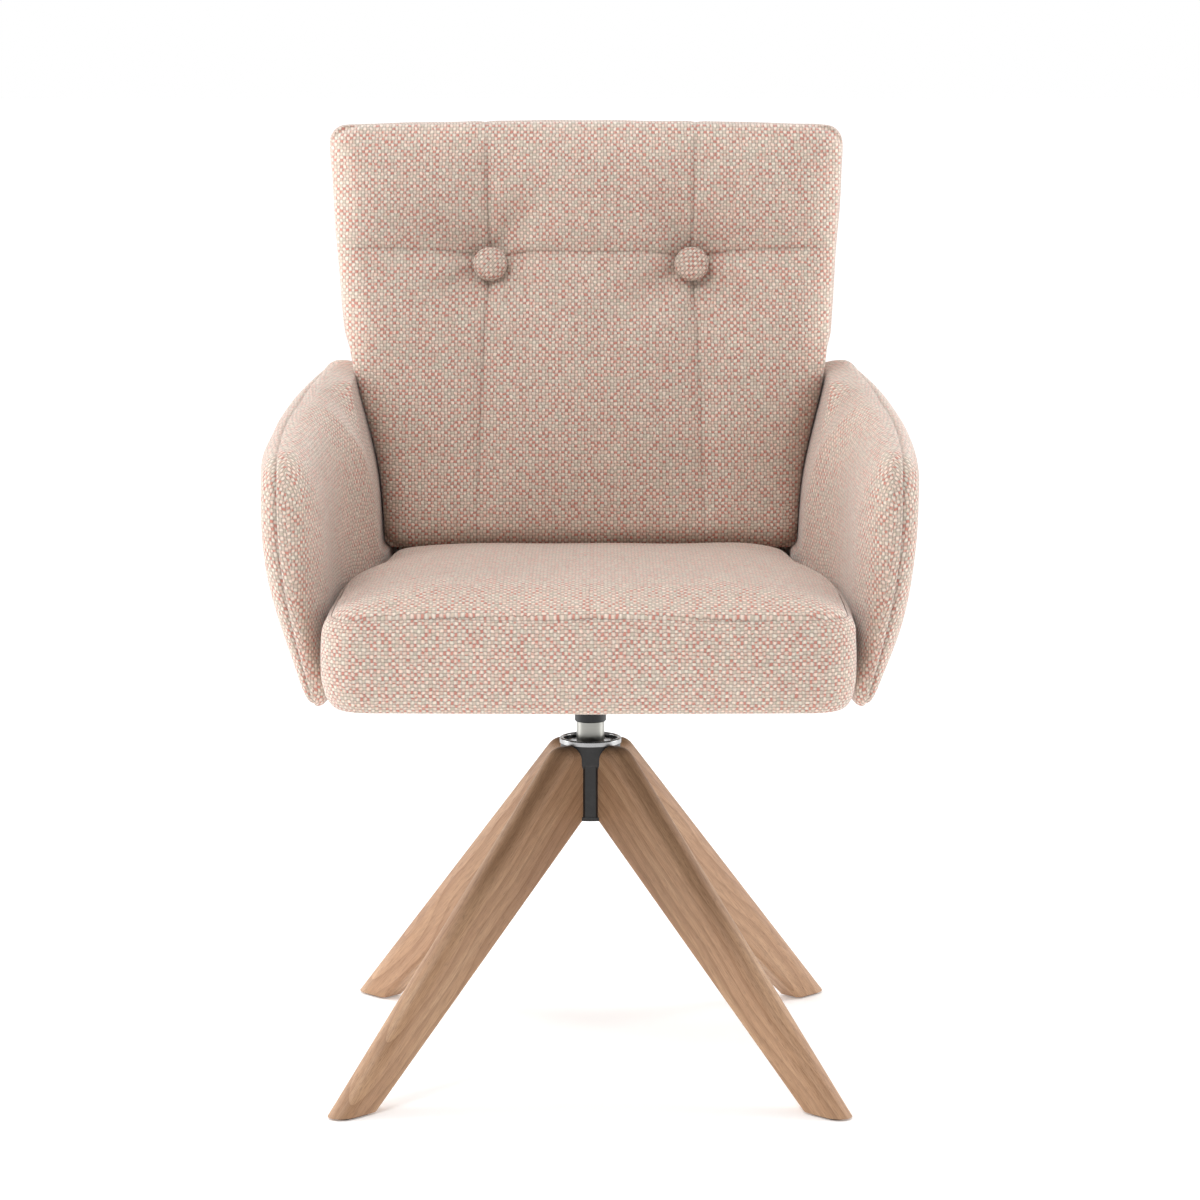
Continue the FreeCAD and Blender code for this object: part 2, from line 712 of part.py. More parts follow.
def back_outline(z0, z1, inset, corner):
    right = [(half_width(z1) - inset, z1, corner)]
    for z, w in reversed(BACK_HALF):
        if z0 + 2 * BACK_FOOT_R < z < z1 - 2 * BACK_CORNER_R:
            right.append((w - inset, z, 200))
    right.append((half_width(z0) - inset, z0, BACK_FOOT_R))
    left = [(-x, z, r) for x, z, r in reversed(right)]
    return right + left


def back_shape(grow, z0, z1):
    """Slab between the back's faces, grown all round and to the rear where it cuts a neighbour."""
    front = (BACK_FRONT[0] - grow, BACK_FRONT[1])
    rear = (BACK_REAR[0] + 40, BACK_REAR[1]) if grow else BACK_REAR
    side = [
        (back_y(front, z0), z0 - grow),
        (back_y(front, z1), z1 + grow),
        (back_y(rear, z1), z1 + grow),
        (back_y(rear, z0), z0 - grow),
    ]
    slab = prism_x(side, -300, 300)
    return slab.common(prism_y(back_outline(z0 - grow, z1 + grow, -grow, BACK_CORNER_R), -100, 400))


def layer(y_from_rear, thickness, z0, z1, inset, corner):
    """Sheet parallel to the rear face: its rear side is y_from_rear in front of that face."""
    rear = (BACK_REAR[0] - y_from_rear, BACK_REAR[1])
    front = (rear[0] - thickness, rear[1])
    side = [
        (back_y(front, z0), z0),
        (back_y(front, z1), z1),
        (back_y(rear, z1), z1),
        (back_y(rear, z0), z0),
    ]
    return prism_x(side, -300, 300).common(prism_y(back_outline(z0, z1, inset, corner), -100, 400))


def button_frame(shape, x):
    """Moves a shape drawn round the origin, facing -Y, to a button's place on the leaning front face."""
    copy = shape.copy()
    copy.rotate(ORIGIN, V(1, 0, 0), -math.degrees(math.atan(BACK_FRONT[1])))
    copy.translate(V(x, back_y(BACK_FRONT, BUTTON_Z), BUTTON_Z))
    return copy


def along_y(radius, y0, y1):
    return Part.makeCylinder(radius, y1 - y0, V(0, y0, 0), V(0, 1, 0))


def button():
    """Domed disc with a rounded rim, facing -Y, sunk below the cushion's face."""
    disc = along_y(BUTTON_R, BUTTON_SINK - BUTTON_H / 2, BUTTON_SINK + BUTTON_H / 2)
    rim = [e for e in disc.Edges if e.BoundBox.YLength < 0.1]
    return disc.makeFillet(BUTTON_EDGE_R, rim)


def back_parts():
    buttons = []
    twines = []
    toggles = []
    cushion = back_shape(0, BACK_BOTTOM_Z, TOP_Z)
    step = layer(-60, 60 + BACK_PAD_T + BACK_PANEL_T + GAP, SHELL_BOTTOM_Z, PANEL_TOP_Z + 1, -60, 10)
    pad_room = layer(-60, 60 + BACK_PAD_T, SHELL_BOTTOM_Z, TOP_Z + 20, -60, 10)
    cushion = cushion.cut(step).cut(pad_room)
    panel = layer(BACK_PAD_T, BACK_PANEL_T, FRAME_Z + 4, PANEL_TOP_Z, 13, 30)
    outer = layer(0, BACK_PAD_T - GAP, SHELL_BOTTOM_Z, TOP_Z - 4, 0.6, BACK_CORNER_R)
    for x in (-BUTTON_X, BUTTON_X):
        buttons.append(button_frame(button(), x))
        cushion = cushion.cut(button_frame(along_y(DIMPLE_R, -20, BUTTON_SINK + BUTTON_H / 2 + GAP), x))
        y_panel = back_y(BACK_REAR, BUTTON_Z) - BACK_PAD_T
        start = back_y(BACK_FRONT, BUTTON_Z) + BUTTON_SINK + BUTTON_H / 2 - 1
        z = BUTTON_Z - TWINE_DROP
        twine = Part.makeCylinder(TWINE_R, y_panel - start, V(x, start, z), V(0, 1, 0))
        room = Part.makeCylinder(TWINE_R + 0.4, y_panel - start + 30, V(x, start - 2, z), V(0, 1, 0))
        twines.append(twine.cut(buttons[-1]))
        cushion = cushion.cut(room)
        panel = panel.cut(room)
        toggle = Part.makeCylinder(TOGGLE_R, TOGGLE_T, V(x, 0, 0), V(0, 1, 0))
        toggle.rotate(V(x, 0, 0), V(1, 0, 0), -math.degrees(math.atan(BACK_REAR[1])))
        toggle.translate(V(0, y_panel + GAP, z))
        toggles.append(toggle)
        outer = outer.cut(Part.makeCylinder(TOGGLE_R + 1, TOGGLE_T + 6, V(x, y_panel - 3, z), V(0, 1, 0)))
    return cushion, panel, outer, buttons, group(twines), group(toggles)


def back_screw_places():
    return [(x, FRAME_Z + rise) for x in SCREW_X for rise in SCREW_RISE]


def back_screws():
    """Screws through the back panel into the rear rail."""
    screws = []
    for x, z in back_screw_places():
        y = rear_rail_back(z) + BACK_PANEL_T - GAP
        head = Part.makeCone(SCREW_R, SCREW_HEAD_R, SCREW_HEAD_H, V(x, y - SCREW_HEAD_H, z), V(0, 1, 0))
        shank = Part.makeCylinder(SCREW_R, SCREW_LENGTH, V(x, y - SCREW_LENGTH, z), V(0, 1, 0))
        screws.append(head.fuse(shank))
    return screws


# ---------------------------------------------------------------- assembly

def seat_parts():
    parts = {}
    parts["swivel_column"] = column()
    race_top = UPPER_BEARING_Z + BEARING_H + RACE_STEP
    nut_top = LOWER_BEARING_Z - SPINDLE_WASHER_T
    parts["column_thrust_washer"] = tube(WASHER_R, BEARING_BORE_R + FIT, race_top, COLUMN_Z[0])
    parts["spindle_washer"] = tube(INNER_RACE_R, THREAD_R + FIT, nut_top, LOWER_BEARING_Z)
    parts["spindle_nut"] = hexagon(NUT_AF, nut_top - NUT_H, nut_top).cut(rod(THREAD_R + FIT, 200, 260))
    parts["column_collar"] = column_collar()
    parts["seat_plate"] = seat_plate()
    parts["seat_plate_bolts"] = group([plate_bolt(x, y) for x, y in plate_bolt_places()])
    parts["seat_tee_nuts"] = group([tee_nut(x, y, FRAME_Z + CROSS_RAIL_H) for x, y in plate_bolt_places()])
    front, rear, side = seat_rails()
    parts["seat_cross_rails"] = cross_rails()
    parts["seat_webbing_long"], parts["seat_webbing_cross"] = webbing()
    parts["dust_cover"] = dust_cover()
    panel = arm_panel()
    spacers = [arm_spacer(y, side, panel) for y in SPACER_Y]
    bolts = [arm_bolt(y) for y in SPACER_Y]
    side = cut_all(side, bolts)
    panel = cut_all(panel, bolts)
    spacers = [spacer.cut(bolt) for spacer, bolt in zip(spacers, bolts)]
    rooms = [spacer_room(y) for y in SPACER_Y]
    pad = arm_pad(arm_panel(), rooms, bolts)
    parts["seat_rail_front"] = front
    parts["seat_rail_right"] = side
    parts["seat_rail_left"] = mirrored(side)
    parts["seat_cushion"] = seat_cushion(rooms + [mirrored(room) for room in rooms])
    parts["arm_panel_right"] = panel
    parts["arm_panel_left"] = mirrored(panel)
    parts["arm_spacers"] = group(spacers + [mirrored(spacer) for spacer in spacers])
    parts["arm_bolts"] = group(bolts + [mirrored(bolt) for bolt in bolts])
    parts["arm_pad_right"] = pad
    parts["arm_pad_left"] = mirrored(pad)
    cushion, back_panel, outer, buttons, twines, toggles = back_parts()
    screws = back_screws()
    parts["seat_rail_rear"] = cut_all(rear, screws)
    parts["back_panel"] = cut_all(back_panel, screws)
    parts["back_screws"] = group(screws)
    parts["back_cushion"] = cushion
    parts["back_outer_pad"] = outer
    parts["back_button_left"], parts["back_button_right"] = buttons
    parts["button_twines"] = twines
    parts["button_toggles"] = toggles
    return parts


def spacer_room(y):
    """Space for a spacer, open downwards, in the seat skirt and the arm pad."""
    half = SPACER_SIZE / 2 + GAP
    floor = SPACER_Z - SPACER_SIZE / 2 + SPACER_SHOULDER - GAP
    return box(150, 252, y - half, y + half, floor, SPACER_Z + half)


def main():
    os.makedirs("parts", exist_ok=True)
    parts = base_parts()
    parts.update(seat_parts())
    for name, shape in sorted(parts.items()):
        if not shape.isValid():
            print("not valid:", name)
        shape.exportStep("parts/" + name + ".step")
        print(name, len(shape.Solids), "solid(s)", round(shape.Volume / 1000, 1), "cm3")


main()
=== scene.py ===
import math

import bmesh
import bpy
import numpy as np
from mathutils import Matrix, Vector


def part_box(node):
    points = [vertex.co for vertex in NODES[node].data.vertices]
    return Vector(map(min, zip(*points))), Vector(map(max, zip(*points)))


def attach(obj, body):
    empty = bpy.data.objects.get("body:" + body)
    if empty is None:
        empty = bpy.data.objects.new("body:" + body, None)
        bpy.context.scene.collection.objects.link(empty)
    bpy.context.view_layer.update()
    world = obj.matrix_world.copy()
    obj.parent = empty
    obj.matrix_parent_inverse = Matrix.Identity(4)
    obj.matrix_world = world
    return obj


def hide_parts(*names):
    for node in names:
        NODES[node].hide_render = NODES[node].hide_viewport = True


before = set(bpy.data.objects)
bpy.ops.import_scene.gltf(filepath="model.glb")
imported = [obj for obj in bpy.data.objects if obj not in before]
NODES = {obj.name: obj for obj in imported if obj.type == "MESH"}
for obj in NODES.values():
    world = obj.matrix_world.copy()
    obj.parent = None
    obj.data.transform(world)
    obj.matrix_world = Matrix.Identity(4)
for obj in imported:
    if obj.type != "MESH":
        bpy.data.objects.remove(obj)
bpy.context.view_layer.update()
LINEN = "weave"

# ---------------------------------------------------------------- sizes, in metres

SEAT_LO, SEAT_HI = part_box("seat_cushion")
BACK_LO, BACK_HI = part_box("back_cushion")
PAD_LO, PAD_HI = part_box("back_outer_pad")
ARM_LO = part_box("arm_pad_right")[0]
PLATE_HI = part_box("seat_plate")[1]
COVER_LO, COVER_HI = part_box("dust_cover")

SEAT_FRONT_Y = SEAT_LO.y
SEAT_SEAM_Z = 0.467
SEAT_CROWN = 0.025
SEAT_TUCK_Y, SEAT_TUCK_Z = 0.102, 0.466
SEAT_REAR_LIFT = 0.007
SEAT_REAR_FALL = 0.011
SKIRT = 0.0136
FOAM_Z = 0.4365
SEAT_SIDE = ((-0.200, 0.235), (-0.050, 0.231), (0.112, 0.196), (0.190, 0.195))

BACK_FACE = (0.0915, 0.27)
BACK_REAR = (0.235, 0.1415)
BACK_REF_Z = 0.400
BACK_HALF = 0.2555
BACK_EDGE = ((0.374, 0.196), (0.474, 0.203), (0.545, 0.209),
             (0.650, 0.2345), (0.740, 0.2455), (0.860, BACK_HALF))
BACK_MIDDLE_Z = 0.68
BACK_SEAM_X, BACK_SEAM_Z = 0.104, 0.7665
BACK_ROLL = 0.024
BACK_CORNER = 0.017
BACK_LOW_CORNER = 0.010
BUTTON_X, BUTTON_Z = 0.100, 0.753
BUTTON_R = 0.0172
BUTTON_DEPTH = 0.0125
BUTTON_DOME = 0.0052
PAD_ROOM = 0.0165
PAD_BORDER = 0.0165

ARM_ROLL = 0.027
ARM_INNER_ROLL = 0.070
ARM_SEAM = 0.46


# ---------------------------------------------------------------- shapes

def smooth(t):
    t = np.clip(t, 0.0, 1.0)
    return t * t * (3 - 2 * t)


def curve(table, x):
    """A smooth line through a few (position, value) pairs."""
    xs = np.array([a for a, _ in table])
    ys = np.array([b for _, b in table])
    x = np.clip(x, xs[0], xs[-1])
    slopes = np.gradient(ys, xs)
    k = np.clip(np.searchsorted(xs, x) - 1, 0, len(xs) - 2)
    h = xs[k + 1] - xs[k]
    t = (x - xs[k]) / h
    return (ys[k] * (1 + 2 * t) * (1 - t) ** 2 + slopes[k] * h * t * (1 - t) ** 2
            + ys[k + 1] * t * t * (3 - 2 * t) + slopes[k + 1] * h * t * t * (t - 1))


def ripple(points, seed, wavelength, count=9):
    """Smooth, repeatable unevenness between about -1 and 1."""
    random = np.random.default_rng(seed)
    total = np.zeros(points.shape[:-1])
    for _ in range(count):
        direction = random.normal(size=points.shape[-1])
        direction /= np.linalg.norm(direction)
        length = wavelength * random.uniform(0.6, 1.6)
        total += np.sin(points @ direction * 2 * math.pi / length + random.uniform(0, 6.28))
    return total / math.sqrt(count)


def rounded(corners, step=0.004):
    """Closed outline, anticlockwise, through corners given as (a, b) or (a, b, radius), evenly divided."""
    line = []
    count = len(corners)
    for i in range(count):
        before = np.array(corners[i - 1][:2])
        here = np.array(corners[i][:2])
        after = np.array(corners[(i + 1) % count][:2])
        radius = corners[i][2] if len(corners[i]) > 2 else 0
        one = (before - here) / np.linalg.norm(before - here)
        two = (after - here) / np.linalg.norm(after - here)
        half = math.acos(float(np.clip(one @ two, -1, 1))) / 2
        if radius == 0 or half > 1.5:
            line.append(here)
            continue
        reach = radius / math.tan(half)
        start, end = here + one * reach, here + two * reach
        middle = here + (one + two) / np.linalg.norm(one + two) * radius / math.sin(half)
        a0 = math.atan2(*(start - middle)[::-1])
        a1 = math.atan2(*(end - middle)[::-1])
        turn = (a1 - a0 + math.pi) % (2 * math.pi) - math.pi
        for t in np.linspace(0, 1, max(3, int(abs(turn) * radius / 0.002) + 2)):
            line.append(middle + radius * np.array([math.cos(a0 + turn * t), math.sin(a0 + turn * t)]))
    line.append(line[0])
    line = np.array(line)
    steps = np.concatenate([[0], np.cumsum(np.linalg.norm(np.diff(line, axis=0), axis=1))])
    number = int(steps[-1] / step) // 2 * 2
    places = np.linspace(0, steps[-1], number + 1)
    return np.stack([np.interp(places, steps, line[:, 0]), np.interp(places, steps, line[:, 1])], 1), places


def outward(line):
    """Unit normals of a closed anticlockwise outline whose last point repeats its first."""
    along = np.roll(line[:-1], -1, 0) - np.roll(line[:-1], 1, 0)
    normal = np.stack([along[:, 1], -along[:, 0]], 1)
    for _ in range(3):
        normal = (np.roll(normal, 1, 0) + 2 * normal + np.roll(normal, -1, 0)) / 4
    normal /= np.linalg.norm(normal, axis=1, keepdims=True)
    return np.vstack([normal, normal[:1]])


def distance(points, line):
    """Distance from each point to a closed outline."""
    flat = points.reshape(-1, 2)
    a, b = line[:-1], line[1:]
    ab = b - a
    best = np.full(len(flat), 9.0)
    for start in range(0, len(flat), 2000):
        some = flat[start:start + 2000, None, :]
        t = np.clip(((some - a) * ab).sum(-1) / (ab * ab).sum(-1), 0, 1)
        best[start:start + 2000] = np.linalg.norm(some - a - t[..., None] * ab, axis=-1).min(1)
    return best.reshape(points.shape[:-1])


def roll_off(depth, radius):
    """0 at an edge, 1 from `radius` inside it, with a round shoulder between."""
    t = 1 - np.clip(depth / radius, 0, 1)
    return (1 - t ** 2) ** 0.5


def laid_out(points, flat):
    """Cloth coordinates of rings that close in on a middle: true length over the edge, flat further in."""
    travel = np.concatenate([np.zeros((1, points.shape[1])),
                             np.cumsum(np.linalg.norm(np.diff(points, axis=0), axis=2), 0)])
    inward = flat - flat[0]
    reach = np.linalg.norm(inward, axis=-1)
    share = 1 - reach / reach[-1]
    spare = (travel - reach) * np.clip(share / 0.85, 0, 1)
    return flat[0] + inward * ((reach + spare) / np.maximum(reach, 1e-6))[..., None]


def mesh_piece(name, patches):
    """One welded mesh from structured patches: points, cloth coordinates and painted crease shade along the
    seams.
    """
    verts, quads, cloth, marks = [], [], [], []
    base = 0
    for points, uv, *crease_shade in patches:
        marks.append(crease_shade[0].ravel() if crease_shade else np.zeros(points.shape[0] * points.shape[1]))
        rows, columns = points.shape[:2]
        index = np.arange(rows * columns).reshape(rows, columns)
        corners = np.stack([index[:-1, :-1], index[:-1, 1:], index[1:, 1:], index[1:, :-1]], -1)
        corners = corners.reshape(-1, 4)
        verts.append(points.reshape(-1, 3))
        cloth.append(uv.reshape(-1, 2)[corners].reshape(-1, 2))
        quads.append(corners + base)
        base += rows * columns
    mesh = bpy.data.meshes.new(name)
    mesh.from_pydata(np.vstack(verts).tolist(), [], np.vstack(quads).tolist())
    layer = mesh.uv_layers.new(name=LINEN)
    layer.data.foreach_set("uv", np.vstack(cloth).astype(np.float32).ravel())
    # seam: painted shade along the sewn creases, read by the weave material to darken the cloth there
    seam = mesh.attributes.new("seam", "FLOAT", "POINT")
    seam.data.foreach_set("value", np.concatenate(marks).astype(np.float32))
    work = bmesh.new()
    work.from_mesh(mesh)
    bmesh.ops.remove_doubles(work, verts=work.verts, dist=2e-6)
    bmesh.ops.dissolve_degenerate(work, dist=1e-6, edges=work.edges)
    bmesh.ops.recalc_face_normals(work, faces=work.faces)
    for face in work.faces:
        face.smooth = True
    work.to_mesh(mesh)
    work.free()
    piece = bpy.data.objects.new(name, mesh)
    bpy.context.scene.collection.objects.link(piece)
    return piece


def puffed(piece, keep, cap, pressure, frames=14):
    """Lets air pressure and the cloth's own stiffness shape a cushion: a short cloth run, then applied.
    keep is 1 where the cloth is sewn or held, 0 where it is free. Every move is eased to stay under cap."""
    rest = np.array([v.co for v in piece.data.vertices])
    held = keep(rest)
    group = piece.vertex_groups.new(name="sewn")
    for i, weight in enumerate(held):
        if weight > 0.01:
            group.add([i], float(weight), "REPLACE")
    cloth = piece.modifiers.new("air", "CLOTH")
    settings = cloth.settings
    settings.quality = 6
    settings.mass = 0.25
    settings.tension_stiffness = settings.compression_stiffness = 30
    settings.shear_stiffness = 12
    settings.bending_stiffness = 0.6
    settings.vertex_group_mass = group.name
    settings.use_pressure = True
    settings.uniform_pressure_force = pressure
    settings.effector_weights.gravity = 0
    cloth.collision_settings.use_collision = False
    cloth.point_cache.frame_start = 1
    cloth.point_cache.frame_end = frames
    scene = bpy.context.scene
    for step in range(1, frames + 1):
        scene.frame_set(step)
    shaped = piece.evaluated_get(bpy.context.evaluated_depsgraph_get()).to_mesh()
    moved = np.array([v.co for v in shaped.vertices]) - rest
    piece.evaluated_get(bpy.context.evaluated_depsgraph_get()).to_mesh_clear()
    piece.modifiers.remove(cloth)
    scene.frame_set(1)
    size = np.linalg.norm(moved, axis=1, keepdims=True)
    moved *= cap * np.tanh(size / cap) / np.maximum(size, 1e-9)
    piece.data.vertices.foreach_set("co", (rest + moved).astype(np.float32).ravel())
    piece.data.update()


def seat_sewn(p):
    """The seat's crown is free; everything from the seam down, and what is under the back, is held."""
    return 1 - smooth((p[:, 2] - SEAT_SEAM_Z - 0.003) / 0.004) * smooth((0.085 - p[:, 1]) / 0.02)


def back_sewn(p):
    """The panels between the seams are free; seams, buttons and the rim are held."""
    x, y, z = p.T
    front = (y < face_y(z) + 0.004) & (z > BACK_LO.z + 0.03) & (z < BACK_HI.z - 0.03)
    seam = np.minimum(np.abs(np.abs(x) - seam_x(z)), np.abs(z - seam_z(x)))
    button = np.hypot(np.abs(x) - BUTTON_X, z - BUTTON_Z)
    free = front * smooth((seam - 0.003) / 0.008) * smooth((button - 0.016) / 0.012)
    return 1 - free * smooth((back_half(z) - np.abs(x) - 0.012) / 0.015)


def finish_soft(piece, material, body, nodes):
    piece.data.materials.append(material)
    sub = piece.modifiers.new("smooth", "SUBSURF")
    sub.levels = sub.render_levels = 1
    sub.use_limit_surface = False
    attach(piece, body)
    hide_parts(*nodes)


# ---------------------------------------------------------------- materials

class Shader:
    """A node material with short calls for its parts."""

    def __init__(self, name, **constants):
        self.material = bpy.data.materials.new(name)
        self.material.use_nodes = True
        self.tree = self.material.node_tree
        self.tree.nodes.clear()
        self.bsdf = self.tree.nodes.new("ShaderNodeBsdfPrincipled")
        end = self.tree.nodes.new("ShaderNodeOutputMaterial")
        self.tree.links.new(self.bsdf.outputs[0], end.inputs[0])
        for key, value in constants.items():
            self.bsdf.inputs[key.replace("_", " ")].default_value = value

    def add(self, kind, inputs=None, **settings):
        made = self.tree.nodes.new(kind)
        for key, value in settings.items():
            setattr(made, key, value)
        for key, value in (inputs or {}).items():
            if isinstance(value, bpy.types.NodeSocket):
                self.tree.links.new(value, made.inputs[key])
            elif value is not None:
                made.inputs[key].default_value = value
        return made

    def math(self, operation, a, b=None, c=None, clamp=False):
        return self.add("ShaderNodeMath", {0: a, 1: b, 2: c}, operation=operation, use_clamp=clamp).outputs[0]

    def vector(self, operation, a, b=None):
        made = self.add("ShaderNodeVectorMath", {0: a, 1: b}, operation=operation)
        return made.outputs["Value" if operation in ("DOT_PRODUCT", "LENGTH") else "Vector"]

    def combine(self, x, y, z=0.0):
        return self.add("ShaderNodeCombineXYZ", {0: x, 1: y, 2: z}).outputs[0]

    def noise(self, vector, scale, detail=2.0, rough=0.5):
        inputs = {"Vector": vector, "Scale": scale, "Detail": detail, "Roughness": rough}
        return self.add("ShaderNodeTexNoise", inputs).outputs[0]

    def ramp(self, factor, stops):
        made = self.add("ShaderNodeValToRGB", {0: factor})
        line = made.color_ramp
        while len(line.elements) < len(stops):
            line.elements.new(0.5)
        for element, (place, colour) in zip(line.elements, stops):
            element.position = place
            element.color = (*colour, 1) if len(colour) == 3 else colour
        return made.outputs[0]

    def mix(self, factor, a, b, blend="MIX"):
        made = self.add("ShaderNodeMix", data_type="RGBA", blend_type=blend, clamp_factor=True)
        for index, value in ((0, factor), (6, a), (7, b)):
            if isinstance(value, bpy.types.NodeSocket):
                self.tree.links.new(value, made.inputs[index])
            else:
                made.inputs[index].default_value = value if index == 0 else (*value, 1)
        return made.outputs[2]

    def set(self, **links):
        for key, socket in links.items():
            self.tree.links.new(socket, self.bsdf.inputs[key.replace("_", " ")])

    def bump(self, height, distance, strength=1.0):
        made = self.add("ShaderNodeBump", {"Height": height, "Distance": distance, "Strength": strength})
        self.tree.links.new(made.outputs[0], self.bsdf.inputs["Normal"])

    def place(self):
        return self.add("ShaderNodeTexCoord").outputs["Object"]


def srgb(r, g, b):
    return tuple((v / 255 / 12.92) if v < 10 else ((v / 255 + 0.055) / 1.055) ** 2.4 for v in (r, g, b))


def basket_weave(name, pitch=0.0032, shade=1.0):
    """Plain weave of thick slub yarns: pale floats one way, coral and greige melange floats the other."""
    s = Shader(name, Roughness=0.92, Sheen_Weight=0.60, Sheen_Roughness=0.35, Specular_IOR_Level=0.2)
    s.bsdf.inputs["Sheen Tint"].default_value = (1.0, 0.98, 0.96, 1)
    cloth = s.add("ShaderNodeUVMap", uv_map=LINEN).outputs[0]
    cells = s.vector("MULTIPLY", cloth, (1 / pitch, 1 / pitch, 0))
    wander = s.add("ShaderNodeTexNoise", {"Vector": cells, "Scale": 0.55, "Detail": 1.0})
    offset = s.vector("MULTIPLY", s.vector("SUBTRACT", wander.outputs[1], (0.5, 0.5, 0.5)), (0.9, 0.9, 0))
    cells = s.vector("ADD", cells, offset)
    parts = s.add("ShaderNodeSeparateXYZ", {0: cells})
    x, y = parts.outputs[0], parts.outputs[1]
    i, j = s.math("FLOOR", x), s.math("FLOOR", y)
    fx = s.math("SUBTRACT", s.math("FRACT", x), 0.5)
    fy = s.math("SUBTRACT", s.math("FRACT", y), 0.5)
    sign_i = s.math("MULTIPLY_ADD", s.math("FLOORED_MODULO", i, 2.0), -2.0, 1.0)
    sign_j = s.math("MULTIPLY_ADD", s.math("FLOORED_MODULO", j, 2.0), -2.0, 1.0)
    wave_y = s.math("MULTIPLY", sign_i, s.math("SINE", s.math("MULTIPLY", y, math.pi)))
    wave_x = s.math("MULTIPLY", sign_j, s.math("SINE", s.math("MULTIPLY", x, math.pi)))

    def yarn(across, width):
        t = s.math("DIVIDE", across, width)
        inside = s.math("SUBTRACT", 1.0, s.math("MULTIPLY", t, t), clamp=True)
        return s.math("SQRT", inside)

    pale_round = yarn(fx, 0.52)
    coral_round = yarn(fy, 0.40)
    pale = s.math("MULTIPLY_ADD", wave_y, 0.55, pale_round)
    coral = s.math("MULTIPLY_ADD", wave_x, -0.60, s.math("MULTIPLY_ADD", coral_round, 1.30, -0.35))
    height = s.math("MAXIMUM", pale, coral)
    top = s.math("MULTIPLY_ADD", s.math("SUBTRACT", pale, coral), 5.0, 0.5, clamp=True)
    warp_hue = s.noise(s.combine(s.math("MULTIPLY", i, 7.31), s.math("MULTIPLY", y, 0.33)), 1.0, 1.0)
    weft_hue = s.noise(s.combine(s.math("MULTIPLY", x, 0.42), s.math("MULTIPLY", j, 5.17), 3.7), 1.0, 1.0)
    warp = s.ramp(warp_hue, [(0.30, srgb(228, 216, 201)), (0.46, srgb(233, 216, 202)),
                             (0.58, srgb(236, 208, 193)), (0.72, srgb(220, 207, 190))])
    weft = s.ramp(weft_hue, [(0.36, srgb(200, 186, 168)), (0.46, srgb(212, 190, 173)),
                             (0.52, srgb(206, 146, 131)), (0.60, srgb(203, 136, 121)),
                             (0.66, srgb(216, 184, 168)), (0.80, srgb(200, 186, 168))])
    fibre = s.noise(s.vector("MULTIPLY", cells, (1, 1, 0)), 5.0, 2.0)
    spot = s.add("ShaderNodeTexWhiteNoise", {"Vector": s.combine(i, j)}, noise_dimensions="2D").outputs[0]
    # painted shade: each yarn is darkened towards its rounded sides and where it dips under the crossing yarn
    lift_x, lift_y = s.math("ABSOLUTE", wave_x), s.math("ABSOLUTE", wave_y)
    warp_shade = s.math("MULTIPLY_ADD", pale_round, 0.22, s.math("MULTIPLY_ADD", lift_y, 0.10, 0.66))
    weft_shade = s.math("MULTIPLY_ADD", coral_round, 0.26, s.math("MULTIPLY_ADD", lift_x, 0.06, 0.64))
    yarn_shade = s.math("MULTIPLY_ADD", s.math("SUBTRACT", warp_shade, weft_shade), top, weft_shade)
    # painted shade in the gaps between neighbouring yarns
    for across in (fx, fy):
        gap = s.math("POWER", s.math("MULTIPLY", s.math("ABSOLUTE", across), 2.0), 5.0)
        yarn_shade = s.math("MULTIPLY", yarn_shade, s.math("MULTIPLY_ADD", gap, -0.42, 1.0))
    tone = s.math("MULTIPLY", yarn_shade, s.math("MULTIPLY_ADD", fibre, 0.30, 0.85))
    tone = s.math("MULTIPLY", tone, s.math("MULTIPLY_ADD", spot, 0.16, 0.92))
    patch = s.math("MULTIPLY_ADD", s.noise(s.place(), 9.0, 2.0), 0.10, 0.95)
    tone = s.math("MULTIPLY", s.math("MULTIPLY", tone, patch), shade)
    # painted shade: the weave is darkened along the sewn seams' creases, as read from the mesh's seam
    # attribute
    seam = s.add("ShaderNodeAttribute", attribute_name="seam").outputs["Fac"]
    tone = s.math("MULTIPLY", tone, s.math("MULTIPLY_ADD", seam, -0.26, 1.0))
    colour = s.mix(top, weft, warp)
    colour = s.mix(1.0, colour, s.combine(tone, tone, tone), "MULTIPLY")
    s.set(Base_Color=colour)
    relief = s.math("MULTIPLY_ADD", fibre, 0.15, height)
    s.bump(s.math("MULTIPLY_ADD", seam, -0.7, relief), 0.0006, 0.7)
    return s.material


